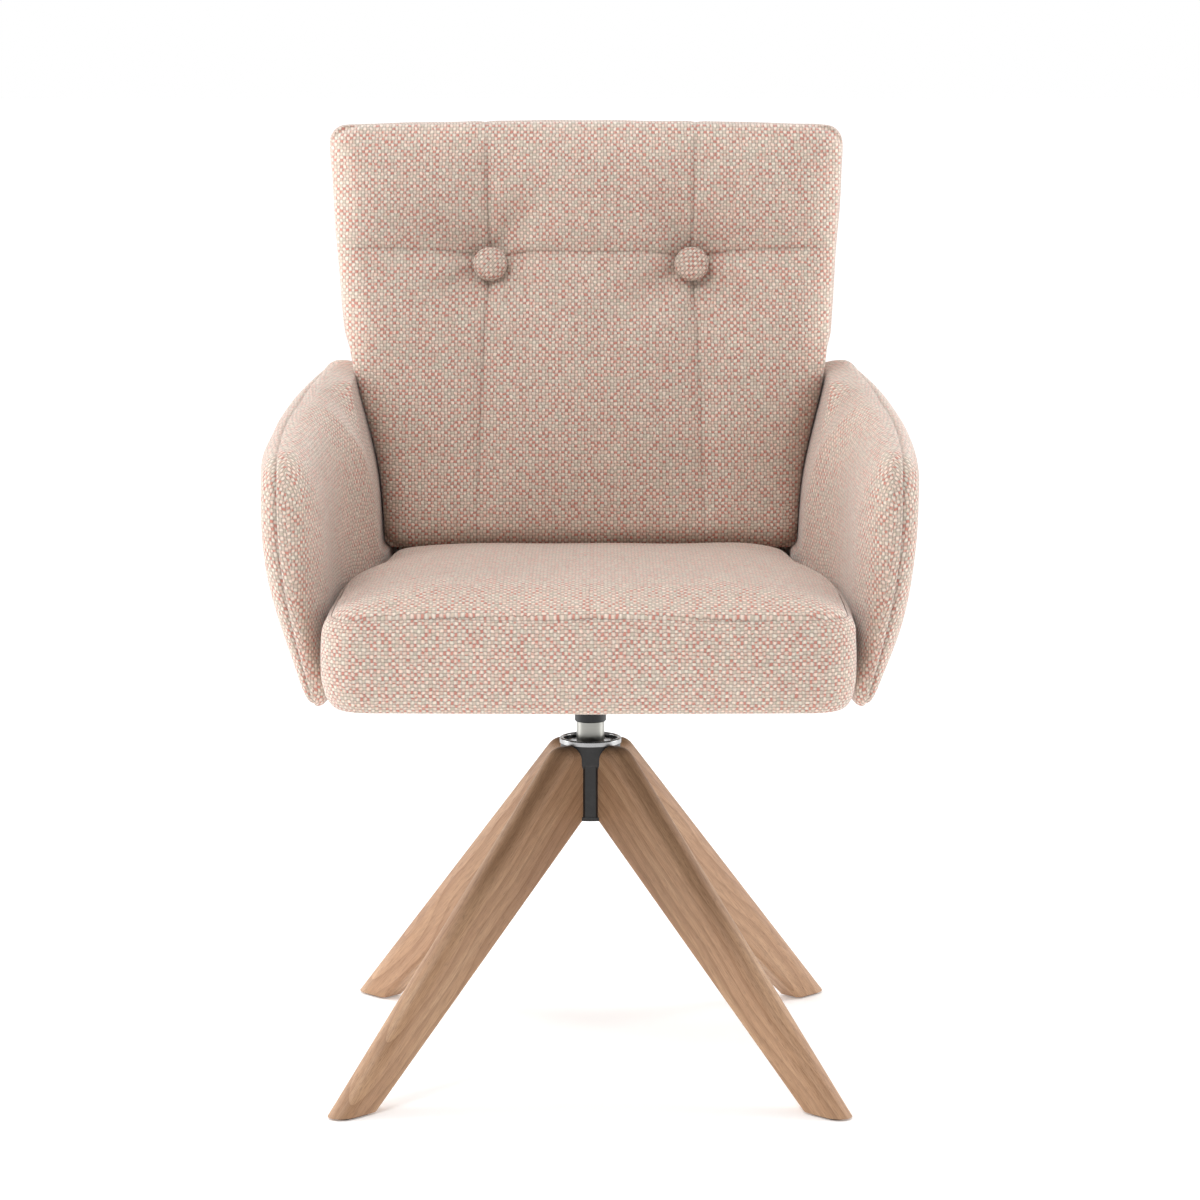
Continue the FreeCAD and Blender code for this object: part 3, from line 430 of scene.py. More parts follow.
def oak(name, axis, side, seed):
    """Oiled oak with straight grain along `axis`, growth rings, open pores and a few darker streaks."""
    s = Shader(name, Specular_IOR_Level=0.4, Coat_Weight=0.06, Coat_Roughness=0.35)
    axis, side = np.array(axis), np.array(side)
    third = np.cross(axis, side)
    spot = s.place()
    along = s.vector("DOT_PRODUCT", spot, tuple(axis))
    a = s.vector("DOT_PRODUCT", spot, tuple(side))
    b = s.vector("DOT_PRODUCT", spot, tuple(third))
    bend = s.noise(s.combine(s.math("MULTIPLY", along, 3.0), s.math("MULTIPLY", a, 9.0), seed), 1.0, 2.0)
    ring_a = s.math("ADD", a, 0.050 + 0.004 * seed)
    ring_b = s.math("MULTIPLY_ADD", s.math("ADD", b, 0.014), 0.42, s.math("MULTIPLY", bend, 0.030))
    radius = s.math("SQRT", s.math("MULTIPLY_ADD", ring_a, ring_a, s.math("MULTIPLY", ring_b, ring_b)))
    rings = s.math("FRACT", s.math("MULTIPLY_ADD", radius, 230.0, s.math("MULTIPLY", bend, 2.2)))
    late = s.math("POWER", rings, 2.5)

    def drawn_out(length, width, detail, rough=0.5, shift=0.0):
        """Noise stretched along the grain."""
        across = s.math("MULTIPLY", a, width)
        through = s.math("MULTIPLY_ADD", b, width, shift)
        return s.noise(s.combine(s.math("MULTIPLY", along, length), across, through), 1.0, detail, rough)

    fine = drawn_out(55.0, 1500.0, 3.0, 0.6)
    pores = s.math("MULTIPLY_ADD", drawn_out(110.0, 2300.0, 1.0), -9.0, 3.6, clamp=True)
    broad = drawn_out(5.0, 70.0, 2.0, shift=seed)
    base = s.ramp(broad, [(0.30, srgb(176, 136, 104)), (0.55, srgb(190, 151, 117)),
                          (0.75, srgb(202, 165, 131))])
    colour = s.mix(s.math("MULTIPLY", late, 0.48), base, srgb(136, 96, 66))
    colour = s.mix(s.math("MULTIPLY_ADD", fine, 1.7, -0.68, clamp=True), colour, srgb(126, 90, 62))
    colour = s.mix(s.math("MULTIPLY", pores, 0.50), colour, srgb(96, 66, 44))
    s.set(Base_Color=colour, Roughness=s.math("MULTIPLY_ADD", fine, 0.22, 0.36))
    s.bump(s.math("MULTIPLY_ADD", pores, -1.0, fine), 0.00012, 0.6)
    return s.material


def timber(name, pale, dark, direction, ply=False):
    """Sawn or plywood boards: grain lines, and glued layers where it is plywood."""
    s = Shader(name, Specular_IOR_Level=0.3)
    spot = s.place()
    stretch = [900.0, 900.0, 900.0]
    stretch["xyz".index(direction)] = 22.0
    grain = s.noise(s.vector("MULTIPLY", spot, tuple(stretch)), 1.0, 3.0, 0.6)
    wide = s.noise(s.vector("MULTIPLY", spot, tuple(v / 14 for v in stretch)), 1.0, 2.0)
    colour = s.mix(grain, pale, dark)
    colour = s.mix(s.math("MULTIPLY_ADD", wide, 1.2, -0.4, clamp=True), colour, pale)
    if ply:
        parts = s.add("ShaderNodeSeparateXYZ", {0: spot})
        layer = s.math("GREATER_THAN", s.math("FRACT", s.math("MULTIPLY", parts.outputs[1], 420.0)), 0.5)
        colour = s.mix(s.math("MULTIPLY", layer, 0.25), colour, dark)
    s.set(Base_Color=colour, Roughness=s.math("MULTIPLY_ADD", grain, 0.2, 0.6))
    s.bump(grain, 0.0002, 0.5)
    return s.material


def metal(name, colour, rough, grain=(40.0, 40.0, 2500.0), metallic=1.0, depth=0.00002, spread_by=0.12,
          **more):
    """Metal with fine directional marks, faint smears and edge-to-edge variation in gloss."""
    s = Shader(name, Metallic=metallic, **more)
    spot = s.place()
    marks = s.noise(s.vector("MULTIPLY", spot, grain), 1.0, 3.0, 0.6)
    smear = s.noise(spot, 60.0, 2.0)
    tone = s.mix(marks, tuple(v * 0.82 for v in colour), tuple(min(1, v * 1.08) for v in colour))
    s.set(Base_Color=tone)
    gloss = s.math("MULTIPLY_ADD", marks, spread_by, rough - spread_by / 2)
    s.set(Roughness=s.math("MULTIPLY_ADD", smear, spread_by / 2, gloss, clamp=True))
    s.bump(marks, depth, 0.5)
    return s.material


def painted(name, colour, rough, scale=900.0, depth=0.00006):
    """Satin black paint or plastic: orange peel, fine dust and slightly paler worn grain."""
    s = Shader(name, Specular_IOR_Level=0.45)
    spot = s.place()
    peel = s.noise(spot, scale, 2.0)
    dust = s.noise(spot, 160.0, 4.0, 0.7)
    worn = tuple(v * 1.9 + 0.006 for v in colour)
    tone = s.mix(s.math("MULTIPLY_ADD", dust, 1.6, -0.7, clamp=True), colour, worn)
    s.set(Base_Color=tone, Roughness=s.math("MULTIPLY_ADD", dust, 0.18, rough - 0.09))
    s.bump(peel, depth, 0.6)
    return s.material


def felt(name, colour, scale, depth=0.0003, streak=(1.0, 1.0, 1.0)):
    """Matted or bonded fibres."""
    s = Shader(name, Roughness=0.97, Sheen_Weight=0.25, Sheen_Roughness=0.6, Specular_IOR_Level=0.15)
    spot = s.vector("MULTIPLY", s.place(), streak)
    wool = s.noise(spot, scale, 4.0, 0.7)
    tuft = s.add("ShaderNodeTexVoronoi", {"Vector": spot, "Scale": scale * 0.35}).outputs[0]
    tone = s.mix(wool, tuple(v * 0.6 for v in colour), tuple(min(1, v * 1.45) for v in colour))
    s.set(Base_Color=s.mix(s.math("MULTIPLY", tuft, 0.3), tone, tuple(v * 0.5 for v in colour)))
    s.bump(wool, depth, 0.8)
    return s.material


def strap(name, colour, along):
    """Flat elastic webbing: ribs along its length, crossed by the picks of the weave."""
    s = Shader(name, Roughness=0.8, Sheen_Weight=0.15, Specular_IOR_Level=0.3)
    parts = s.add("ShaderNodeSeparateXYZ", {0: s.place()})
    x, y = parts.outputs[0 if along == "y" else 1], parts.outputs[1 if along == "y" else 0]
    rib = s.math("SINE", s.math("MULTIPLY", x, 2100.0))
    pick = s.math("SINE", s.math("MULTIPLY", y, 3900.0))
    height = s.math("MULTIPLY", rib, pick)
    edge = s.math("MULTIPLY_ADD", s.math("SINE", s.math("MULTIPLY", x, 314.0)), 0.5, 0.5)
    low, high = tuple(v * 0.5 for v in colour), tuple(v * 1.6 for v in colour)
    # painted light and shade: the ribs' crests are painted lighter and their hollows darker
    tone = s.mix(s.math("MULTIPLY_ADD", height, 0.35, 0.5), low, high)
    s.set(Base_Color=s.mix(s.math("MULTIPLY", edge, 0.3), tone, tuple(v * 2.4 for v in colour)))
    s.bump(height, 0.0003, 0.7)
    return s.material


def cord_material(name, colour):
    """Twisted, waxed cord."""
    s = Shader(name, Roughness=0.6, Sheen_Weight=0.2, Specular_IOR_Level=0.4)
    parts = s.add("ShaderNodeSeparateXYZ", {0: s.place()})
    climb = s.math("MULTIPLY", parts.outputs[2], 2200.0)
    twist = s.math("SINE", s.math("MULTIPLY_ADD", parts.outputs[1], 3400.0, climb))
    height = s.math("MULTIPLY_ADD", twist, 0.5, 0.5)
    # painted shade: the grooves of the twist are painted darker than its crests
    s.set(Base_Color=s.mix(height, tuple(v * 0.55 for v in colour), colour))
    s.bump(height, 0.0002, 0.8)
    return s.material


# ---------------------------------------------------------------- seat

def seat_half(y):
    return curve(SEAT_SIDE, y)


def seat_outline():
    """The seat's plan: a nearly straight front, round front corners and sides that close in to the back."""
    front = SEAT_FRONT_Y
    right = [(seat_half(y), y) for y in np.linspace(-0.20, 0.17, 12)]
    left = [(-x, y) for x, y in reversed(right)]
    corners = [(0, front, 1.6), (seat_half(-0.2), front + 0.006, 0.042)] + right
    corners += [(0.188, 0.190, 0.010), (-0.188, 0.190, 0.010)] + left
    corners.append((-seat_half(-0.2), front + 0.006, 0.042))
    return rounded(corners, 0.0045)


def make_seat():
    line, places = seat_outline()
    normal = outward(line)
    hidden = smooth((line[:, 1] - 0.125) / 0.03)
    floor_z = SEAT_LO.z + 0.0006 + (FOAM_Z - SEAT_LO.z) * hidden

    def ring(inset, z):
        z = np.maximum(z, floor_z)
        flat = line - normal * inset[:, None] if np.ndim(inset) else line - normal * inset
        return np.column_stack([flat, z])

    # wall: bottom turn-in, a soft bulge, and a seam under the top panel
    profile = [(SKIRT * (1 - math.sin(t)), 0.024 * (1 - math.cos(t))) for t in np.linspace(0, 1.35, 9)]
    for t in np.linspace(0.30, 0.86, 9):
        profile.append((0.0006 - 0.0022 * math.sin(math.pi * t), t * (SEAT_SEAM_Z - SEAT_LO.z)))
    tall = SEAT_SEAM_Z - SEAT_LO.z
    shoulder = ((0.0085, 0.0006), (0.0055, 0.0018), (0.0032, 0.0032), (0.0014, 0.0054), (0.0, 0.0072))
    for below, inset in shoulder:
        profile.append((inset, tall - below))
    wall, wall_uv = [], []
    length = 0.0
    last = profile[0]
    wave = ripple(np.column_stack([line, np.zeros(len(line))]), 3, 0.11)
    for inset, rise in profile:
        length += math.hypot(inset - last[0], rise - last[1])
        last = (inset, rise)
        bulge = 0.0012 * wave * smooth(rise / 0.03) * smooth((tall - rise) / 0.02)
        wall.append(ring(np.full(len(line), inset) - bulge, np.full(len(line), SEAT_LO.z + 0.0006 + rise)))
        wall_uv.append(np.column_stack([np.full(len(line), length), places]))
    dip = 0.0014 * ripple(np.column_stack([places, places * 0]), 5, 0.16, 5)
    for k in range(len(wall) - 14, len(wall)):
        t = (k - len(wall) + 14) / 13
        wall[k][:, 2] += dip * smooth(t)

    # top panel: it leaves the seam steeply, then runs over to the crown
    middle = np.array([0.0, -0.085])
    close = np.array([0, 1.2, 2.6, 5, 9, 15, 24, 36, 52, 75, 105])
    share = np.concatenate([1 - 0.001 * close, np.linspace(0.86, 0, 34)])
    base = line - normal * profile[-1][0]
    top, top_uv = [], []
    for rho in share:
        flat = middle + (base - middle) * rho
        rise = (1 - rho ** 4.6) ** 0.62
        z = SEAT_SEAM_Z + 0.0006 + dip * rho ** 8 - 0.0012 * smooth((rho - 0.985) / 0.015) + SEAT_CROWN * rise
        z = z + SEAT_REAR_LIFT * smooth((flat[:, 1] - 0.02) / 0.07) * rho ** 2
        z = z - SEAT_REAR_FALL * smooth((flat[:, 1] + 0.02) / 0.12) * rise
        under = smooth((flat[:, 1] - SEAT_TUCK_Y) / 0.022)
        z = z - under * np.maximum(z - SEAT_TUCK_Z, 0)
        z = z + 0.0011 * ripple(np.column_stack([flat, np.zeros(len(flat))]), 11, 0.13) * (1 - rho ** 6)
        top.append(np.column_stack([flat, z]))
        top_uv.append(np.column_stack([flat[:, 1], flat[:, 0]]))
    top, top_uv = np.array(top), np.array(top_uv)

    # inside of the skirt and the underside of the foam
    inner = [ring(SKIRT, floor_z)]
    for z in (0.395, 0.410, 0.425, FOAM_Z):
        inner.append(ring(np.full(len(line), SKIRT + 0.0002), np.full(len(line), z)))
    edge = inner[-1][:, :2]
    for rho in (0.9, 0.7, 0.5, 0.3, 0.15, 0.0):
        flat = middle + (edge - middle) * rho
        inner.append(np.column_stack([flat, np.full(len(line), FOAM_Z)]))
    inner = np.array(inner)
    inner_uv = inner[..., :2].copy()

    wall, wall_uv = np.array(wall), np.array(wall_uv)
    # painted shade along the seam under the top panel, at the front only
    wall_crease_shade, top_crease_shade = np.zeros(wall.shape[:2]), np.zeros(top.shape[:2])
    front_only = smooth((0.10 - line[:, 1]) / 0.02)
    wall_crease_shade[-1] = top_crease_shade[0] = 0.6 * front_only
    wall_crease_shade[-2] = top_crease_shade[1] = 0.25 * front_only
    return mesh_piece("seat_cushion_cover", [
        (wall, wall_uv, wall_crease_shade),
        (top, top_uv, top_crease_shade),
        (inner[::-1], inner_uv[::-1]),
    ])


# ---------------------------------------------------------------- back

def back_half(z, side=0):
    """Half width of the back; the left side, -1, stands a little further out than the right."""
    return curve(BACK_EDGE, z) - 0.0045 * np.asarray(side) * smooth((z - 0.56) / 0.2)


def face_y(z):
    return BACK_FACE[0] + BACK_FACE[1] * (z - BACK_REF_Z)


def rear_y(z):
    return BACK_REAR[0] + BACK_REAR[1] * (z - BACK_REF_Z)


def seam_x(z):
    """Half distance between the two upright seams."""
    table = ((0.470, 0.1125), (0.620, 0.108), (0.700, 0.1045),
             (0.753, 0.100), (0.800, 0.102), (0.892, 0.1045))
    return curve(table, z)


def seam_z(x):
    """Height of the level seam, which sags to the buttons."""
    x = np.abs(x)
    pull = np.exp(-np.hypot(x - BUTTON_X, 0.006) / 0.028 + 0.2)
    return BACK_SEAM_Z - 0.0030 * smooth(1 - x / 0.08) - (BACK_SEAM_Z - BUTTON_Z) * np.minimum(pull, 1)


def crease(gap):
    """Section through a sewn crease: a tight fold in a wider hollow."""
    return 0.55 * np.exp(-(gap / 0.0022) ** 2) + 0.45 * np.exp(-gap / 0.012)


def back_front(x, z):
    """How far the front of the back cushion stands out of its plain leaning face."""
    top, bottom = BACK_HI.z - 0.003, BACK_LO.z
    side = np.sign(x)
    half = back_half(z, side)
    across = x / half
    crown = 0.009 * (1 - across ** 2) * (1 - 0.5 * np.abs((z - BACK_MIDDLE_Z) / 0.2) ** 3).clip(0)
    sx, sz = seam_x(z), seam_z(x)
    inner = np.abs(x) < sx
    u = np.where(inner, np.abs(x) / sx, (np.abs(x) - sx) / np.maximum(half - sx, 1e-3))
    puff_u = np.where(inner, 1 - u ** 4, (1 - np.abs(2 * u - 0.95) ** 2.6).clip(0))
    upper = z > sz
    v = np.where(upper, (z - sz) / (top - sz), (z - bottom) / (sz - bottom))
    puff_high = (1 - np.abs(2 * v - 0.9) ** 2.4).clip(0)
    puff_low = (1 - np.abs(2 * v - 1.08) ** 3.5).clip(0)
    puff_v = np.where(upper, puff_high, puff_low)
    puff = np.where(upper, 0.0115, 0.0085) * puff_u * puff_v
    to_button = np.hypot(np.abs(x) - BUTTON_X, z - BUTTON_Z)
    near = np.exp(-to_button / 0.040)
    upright = np.abs(np.abs(x) - sx)
    level = np.abs(z - sz)
    depth_up = 0.0012 + 0.0056 * near
    depth_level = 0.0009 + 0.0066 * near
    outer_level = smooth((np.abs(x) - BUTTON_X) / 0.02)
    groove = depth_up * crease(upright) + depth_level * crease(level) * (0.65 + 0.35 * outer_level)
    dimple = 0.0310 * np.exp(-(np.maximum(to_button - 0.013, 0) / 0.048) ** 1.2)
    angle = np.arctan2(z - BUTTON_Z, np.abs(x) - BUTTON_X)
    folds = 0.0046 * np.cos(4 * angle + 0.6) + 0.0018 * np.cos(7 * angle + 1.1 + 0.6 * side)
    folds *= np.exp(-((to_button - 0.046) / 0.034) ** 2)
    sag = 0.0016 * ripple(np.stack([x, z], -1), 21, 0.12)
    return crown + puff - groove - dimple + folds + sag


def make_back():
    top, bottom = BACK_HI.z - 0.0055, BACK_LO.z + 0.0005
    fine = np.array([0.0, 0.0008, 0.0018, 0.0032, 0.0052])
    edge = BACK_ROLL * (1 - np.cos(np.linspace(0, math.pi / 2, 8)))

    step = 0.0042

    def division(seam, full):
        inside = np.concatenate([-fine[::-1], fine[1:]]) + seam
        left = np.linspace(0, inside[0], max(2, round(inside[0] / step)) + 1)[:-1]
        outer = full - edge[-1]
        right = np.linspace(inside[-1], outer, max(2, round((outer - inside[-1]) / step)) + 1)[1:-1]
        return np.concatenate([left, inside, right, full - edge[::-1]])

    half_columns = division(BACK_SEAM_X, BACK_HALF) / BACK_HALF
    columns = np.concatenate([-half_columns[::-1], half_columns[1:]])
    rows = division(BACK_SEAM_Z - bottom, top - bottom) + bottom
    rows[:len(edge)] = bottom + edge
    split = BACK_SEAM_X / BACK_HALF

    a, z0 = np.meshgrid(columns, rows)
    x_guess = a * back_half(z0, np.sign(a))
    shift = seam_z(x_guess) - BACK_SEAM_Z
    above = 1 - smooth((z0 - BACK_SEAM_Z) / (top - 0.79))
    below = smooth((z0 - bottom) / (BACK_SEAM_Z - bottom))
    z = z0 + shift * np.where(z0 > BACK_SEAM_Z, above, below)
    lift = 0.0040 * (1 - a ** 2) - 0.0011 * np.exp(-(np.abs(np.abs(a) - split) / 0.02) ** 1.5)
    z = z + lift * smooth((z - 0.83) / (top - 0.83))
    local_top = top + lift
    side = np.sign(a)
    half = back_half(z, side)
    # the corners are rounded off in the outline itself
    for limit, toward, radius in ((local_top, 1, BACK_CORNER), (bottom, -1, BACK_LOW_CORNER)):
        into = np.clip((radius - toward * (limit - z)) / radius, 0, 1)
        half = half - radius * (1 - np.sqrt(1 - into ** 2))
    sx = seam_x(z)
    magnitude = np.abs(a)
    beyond = sx + (half - sx) * (magnitude - split) / (1 - split)
    x = np.where(magnitude < split, magnitude / split * sx, beyond) * side

    dx = half - np.abs(x)
    dz = np.minimum(local_top - z, z - bottom)
    depth = np.minimum(dx, dz)
    r = BACK_ROLL
    corner = (dx < r) & (dz < r)
    depth = np.where(corner, r - np.hypot(r - dx, r - dz), depth).clip(0)
    back_off = r * (1 - roll_off(depth, r))
    stand = back_front(x, z) * smooth(depth / r * 0.75 + 0.02)
    front = np.stack([x, face_y(z) + back_off - stand, z], -1)
    front_uv = np.stack([x, z * 1.035], -1)
    # painted shade along the seams' creases, stronger near the buttons
    crease_shade = np.exp(-((np.abs(x) - seam_x(z)) / 0.0009) ** 2)
    crease_shade = np.maximum(crease_shade, np.exp(-((z - seam_z(x)) / 0.0009) ** 2)) * smooth((dx - 0.004) / 0.02)
    crease_shade = crease_shade * (0.75 + 0.25 * np.exp(-np.hypot(np.abs(x) - BUTTON_X, z - BUTTON_Z) / 0.06))

    loop = np.concatenate([front[0, :-1], front[:-1, -1], front[-1, :0:-1], front[:0:-1, 0], front[:1, 0]])
    steps = np.concatenate([[0], np.cumsum(np.linalg.norm(np.diff(loop, axis=0), axis=1))])
    rear = loop.copy()
    rear[:, 1] = rear_y(rear[:, 2]) - PAD_ROOM
    away = loop[:, [0, 2]] - np.array([0.0, BACK_MIDDLE_Z])
    away /= np.linalg.norm(away, axis=1, keepdims=True)
    boxing, boxing_uv = [], []
    for t in np.linspace(0, 1, 12):
        p = loop + (rear - loop) * t
        swell = 0.0035 * math.sin(math.pi * min(1.0, t * 1.02)) * (1 + 0.25 * ripple(loop, 31, 0.10))
        swell = swell * smooth((loop[:, 2] - 0.655) / 0.03)
        tuck = 0.003 * smooth((t - 0.9) / 0.1)
        p[:, 0] += away[:, 0] * (swell - tuck)
        p[:, 2] += away[:, 1] * (swell - tuck) * np.where(away[:, 1] > 0, 0.35, 0.3)
        boxing.append(p)
        boxing_uv.append(np.column_stack([steps, np.full(len(p), t * 0.08)]))
    closing, closing_uv = [], []
    hub = np.array([0.0, rear_y(BACK_MIDDLE_Z) - PAD_ROOM, BACK_MIDDLE_Z])
    for rho in (1.0, 0.85, 0.6, 0.35, 0.15, 0.0):
        p = hub + (boxing[-1] - hub) * rho
        p[:, 1] = rear_y(p[:, 2]) - PAD_ROOM
        closing.append(p)
        closing_uv.append(p[:, [0, 2]])
    closing[0] = boxing[-1]
    return mesh_piece("back_cushion_cover", [
        (front, front_uv, crease_shade),
        (np.array(boxing), np.array(boxing_uv)),
        (np.array(closing), np.array(closing_uv)),
    ])


def make_outer_pad():
    """The upholstered outside of the back, with a sewn border."""
    low, high = PAD_LO.z + 0.0006, PAD_HI.z - 0.0006
    right = [(float(back_half(z)) - 0.0008, z) for z in np.linspace(low + 0.022, high - 0.030, 16)]
    left = [(-x, z) for x, z in reversed(right)]
    corners = [(0.194, low, 0.016)] + right
    corners += [(0.2552, high, 0.024), (0, high + 0.002, 3.0), (-0.2552, high, 0.024)]
    corners += left + [(-0.194, low, 0.016)]
    line, places = rounded(corners, 0.0055)
    middle = np.array([0.0, 0.64])
    close = np.array([0, 1.5, 4, 9, 16, 26, 40, 56, 64, 69, 74, 83, 100])
    share = np.concatenate([1 - 0.001 * close, np.linspace(0.86, 0, 24)])
    flat = middle + (line - middle) * share[:, None, None]
    depth = distance(flat, line)
    depth[0] = 0
    half_t = 0.0078
    centre = rear_y(flat[..., 1]) - 0.0080
    shape = roll_off(depth, 0.011)
    from_seam = np.abs(depth - PAD_BORDER)
    seam = 0.0016 * np.exp(-(from_seam / 0.0018) ** 2) + 0.0010 * np.exp(-from_seam / 0.006)
    crown = 0.0022 * smooth(depth / 0.16) + 0.0006 * ripple(flat, 41, 0.12) * smooth(depth / 0.03)
    outside = np.stack([flat[..., 0], centre + half_t * shape - seam + crown, flat[..., 1]], -1)
    inside = np.stack([flat[..., 0], centre - half_t * roll_off(depth, 0.006), flat[..., 1]], -1)
    uv = np.stack([flat[..., 0], flat[..., 1] * 1.01], -1)
    # painted shade along the border seam's crease
    crease_shade = np.exp(-(from_seam / 0.0012) ** 2)
    return mesh_piece("back_outer_cover", [(outside, uv, crease_shade), (inside, uv)])


def make_button(name, x):
    """A fabric-covered button: a domed disc with a pulled-in rim."""
    angles = np.linspace(0, 2 * math.pi, 49)
    tilt = math.atan(BACK_FACE[1])
    rings = [(0.0, BUTTON_DOME), (0.25, 0.0050), (0.5, 0.0044), (0.7, 0.0035),
             (0.84, 0.0023), (0.93, 0.0008), (0.985, -0.0012), (1.0, -0.0030),
             (0.96, -0.0044), (0.8, -0.0050), (0.4, -0.0050), (0.0, -0.0050)]
    points, uv = [], []
    travel = 0.0
    last = rings[0]
    for share, rise in rings:
        travel += math.hypot((share - last[0]) * BUTTON_R, rise - last[1])
        last = (share, rise)
        pleat = 1 + 0.012 * np.cos(angles * 14) * smooth((share - 0.6) / 0.3)
        px, pz = share * BUTTON_R * np.cos(angles) * pleat, share * BUTTON_R * np.sin(angles) * pleat
        out = np.full(len(angles), rise)
        points.append(np.stack([
            x + px,
            face_y(BUTTON_Z) + (BUTTON_DEPTH - BUTTON_DOME - out) * math.cos(tilt) + pz * math.sin(tilt),
            BUTTON_Z + pz * math.cos(tilt) + (out - BUTTON_DEPTH + BUTTON_DOME) * math.sin(tilt)], -1))
        turn = math.radians(42)
        uv.append(np.stack([
            travel * np.cos(angles + turn) + 0.3 * x,
            travel * np.sin(angles + turn)], -1))
    return mesh_piece(name, [(np.array(points), np.array(uv))])


# ---------------------------------------------------------------- arms

def arm_top(y):
    """Height of the arm's upper line."""
    return curve(((-0.25, 0.602), (-0.16, 0.612), (0.0, 0.633), (0.12, 0.6440), (0.27, 0.6490)), y)


def arm_outline():
    """Side view of an arm: leaning front, big round upper corner, top rising to the back."""
    rear_low, rear_high = float(rear_y(ARM_LO.z)), float(rear_y(0.650))
    corners = [(-0.205, ARM_LO.z, 0.016), (rear_low - 0.001, ARM_LO.z, 0.010),
               (rear_high - 0.001, 0.6525, 0.016)]
    corners += [(y, float(arm_top(y))) for y in np.linspace(0.22, -0.14, 12)]
    corners += [(-0.2415, 0.600, 0.050), (-0.2405, 0.500, 0.30)]
    return rounded(corners, 0.0045)


def arm_outside(y, z):
    plan = curve(((-0.25, 0.2915), (-0.12, 0.2975), (0.06, 0.2895), (0.16, 0.281), (0.30, 0.268)), y)
    barrel = 0.0415 * np.clip((0.55 - z) / 0.175, 0, 1.1) ** 1.8
    return plan - barrel


def arm_inside(y, z):
    beside_seat = seat_half(np.minimum(y, 0.112)) + 0.0008
    above = np.clip(z - 0.462, 0, None)
    front = beside_seat + 0.035 * above + 0.0035 * smooth((-0.14 - y) / 0.08)
    into = np.clip((BACK_LOW_CORNER - (z - BACK_LO.z)) / BACK_LOW_CORNER, 0, 1)
    beside_back = back_half(z) + 0.0005 - BACK_LOW_CORNER * (1 - np.sqrt(1 - into ** 2))
    gap = front - beside_back
    return beside_back + np.where(gap > 0, gap, 0.0)


def make_arm(name, side):
    line, places = arm_outline()
    middle = np.array([0.0, 0.505])
    close = np.array([0, 0.8, 2.0, 3.2, 4.4, 5.6, 6.8, 8.0, 9.5, 11.5, 14, 18, 25, 36, 50, 68, 90, 118])
    share = np.concatenate([1 - 0.001 * close, np.linspace(0.85, 0, 22)])
    flat = middle + (line - middle) * share[:, None, None]
    depth = distance(flat, line)
    depth[0] = 0
    y, z = flat[..., 0], flat[..., 1]
    outer, inner = arm_outside(y, z), arm_inside(y, z)
    lower = smooth((0.420 - z) / 0.035)
    radius = ARM_ROLL * (1 - 0.66 * lower)
    shape = (1 - np.clip(1 - depth / radius, 0, 1) ** 2.3) ** (1 / 2.2)
    lower_in = smooth((0.445 - z) / 0.05)
    inner_radius = ARM_INNER_ROLL * (1 - 0.92 * lower_in)
    inner_radius = inner_radius + (0.005 - inner_radius) * smooth((y - 0.04) / 0.07)
    shape_in = (1 - np.clip(1 - depth / inner_radius, 0, 1) ** 2.1) ** (1 / 2.0)
    centre = inner + (outer - inner) * 0.50
    seam_shape = np.abs(shape - ARM_SEAM) * (outer - centre)
    groove = 0.0013 * np.exp(-(seam_shape / 0.0016) ** 2) + 0.0009 * np.exp(-seam_shape / 0.006)
    groove = groove * smooth(depth / 0.001) * smooth((0.20 - y) / 0.05)
    soft = 0.0013 * ripple(flat, 51 + side, 0.14) * smooth(depth / 0.03)
    x_out = centre + (outer - centre) * shape - groove * 0.8 + soft * 0.8
    x_in = centre - (centre - inner) * shape_in + np.maximum(soft, 0) * 0.6
    inward = middle - flat
    inward /= np.maximum(np.linalg.norm(inward, axis=-1, keepdims=True), 1e-6)
    sunk = flat + inward * groove[..., None] * 0.9
    # painted shade along the arm's seam crease, fading out towards the back
    crease_shade = np.exp(-(seam_shape / 0.0012) ** 2) * smooth((0.20 - y) / 0.05) * smooth(depth / 0.0006)
    outside = np.stack([x_out * side, sunk[..., 0], sunk[..., 1]], -1)
    inside = np.stack([x_in * side, flat[..., 0], flat[..., 1]], -1)
    outside[0] = inside[0]
    uv_out = laid_out(outside, flat)
    uv_in = laid_out(inside, flat) + np.array([0.4013, 0.0017])
    return mesh_piece(name, [(outside, uv_out, crease_shade), (inside, uv_in)])


# ---------------------------------------------------------------- cover under the seat

def plan_area(line):
    """Area inside a closed outline in plan, in square metres."""
    x, y = line.T
    return 0.5 * abs(float(np.dot(x, np.roll(y, -1)) - np.dot(y, np.roll(x, -1))))


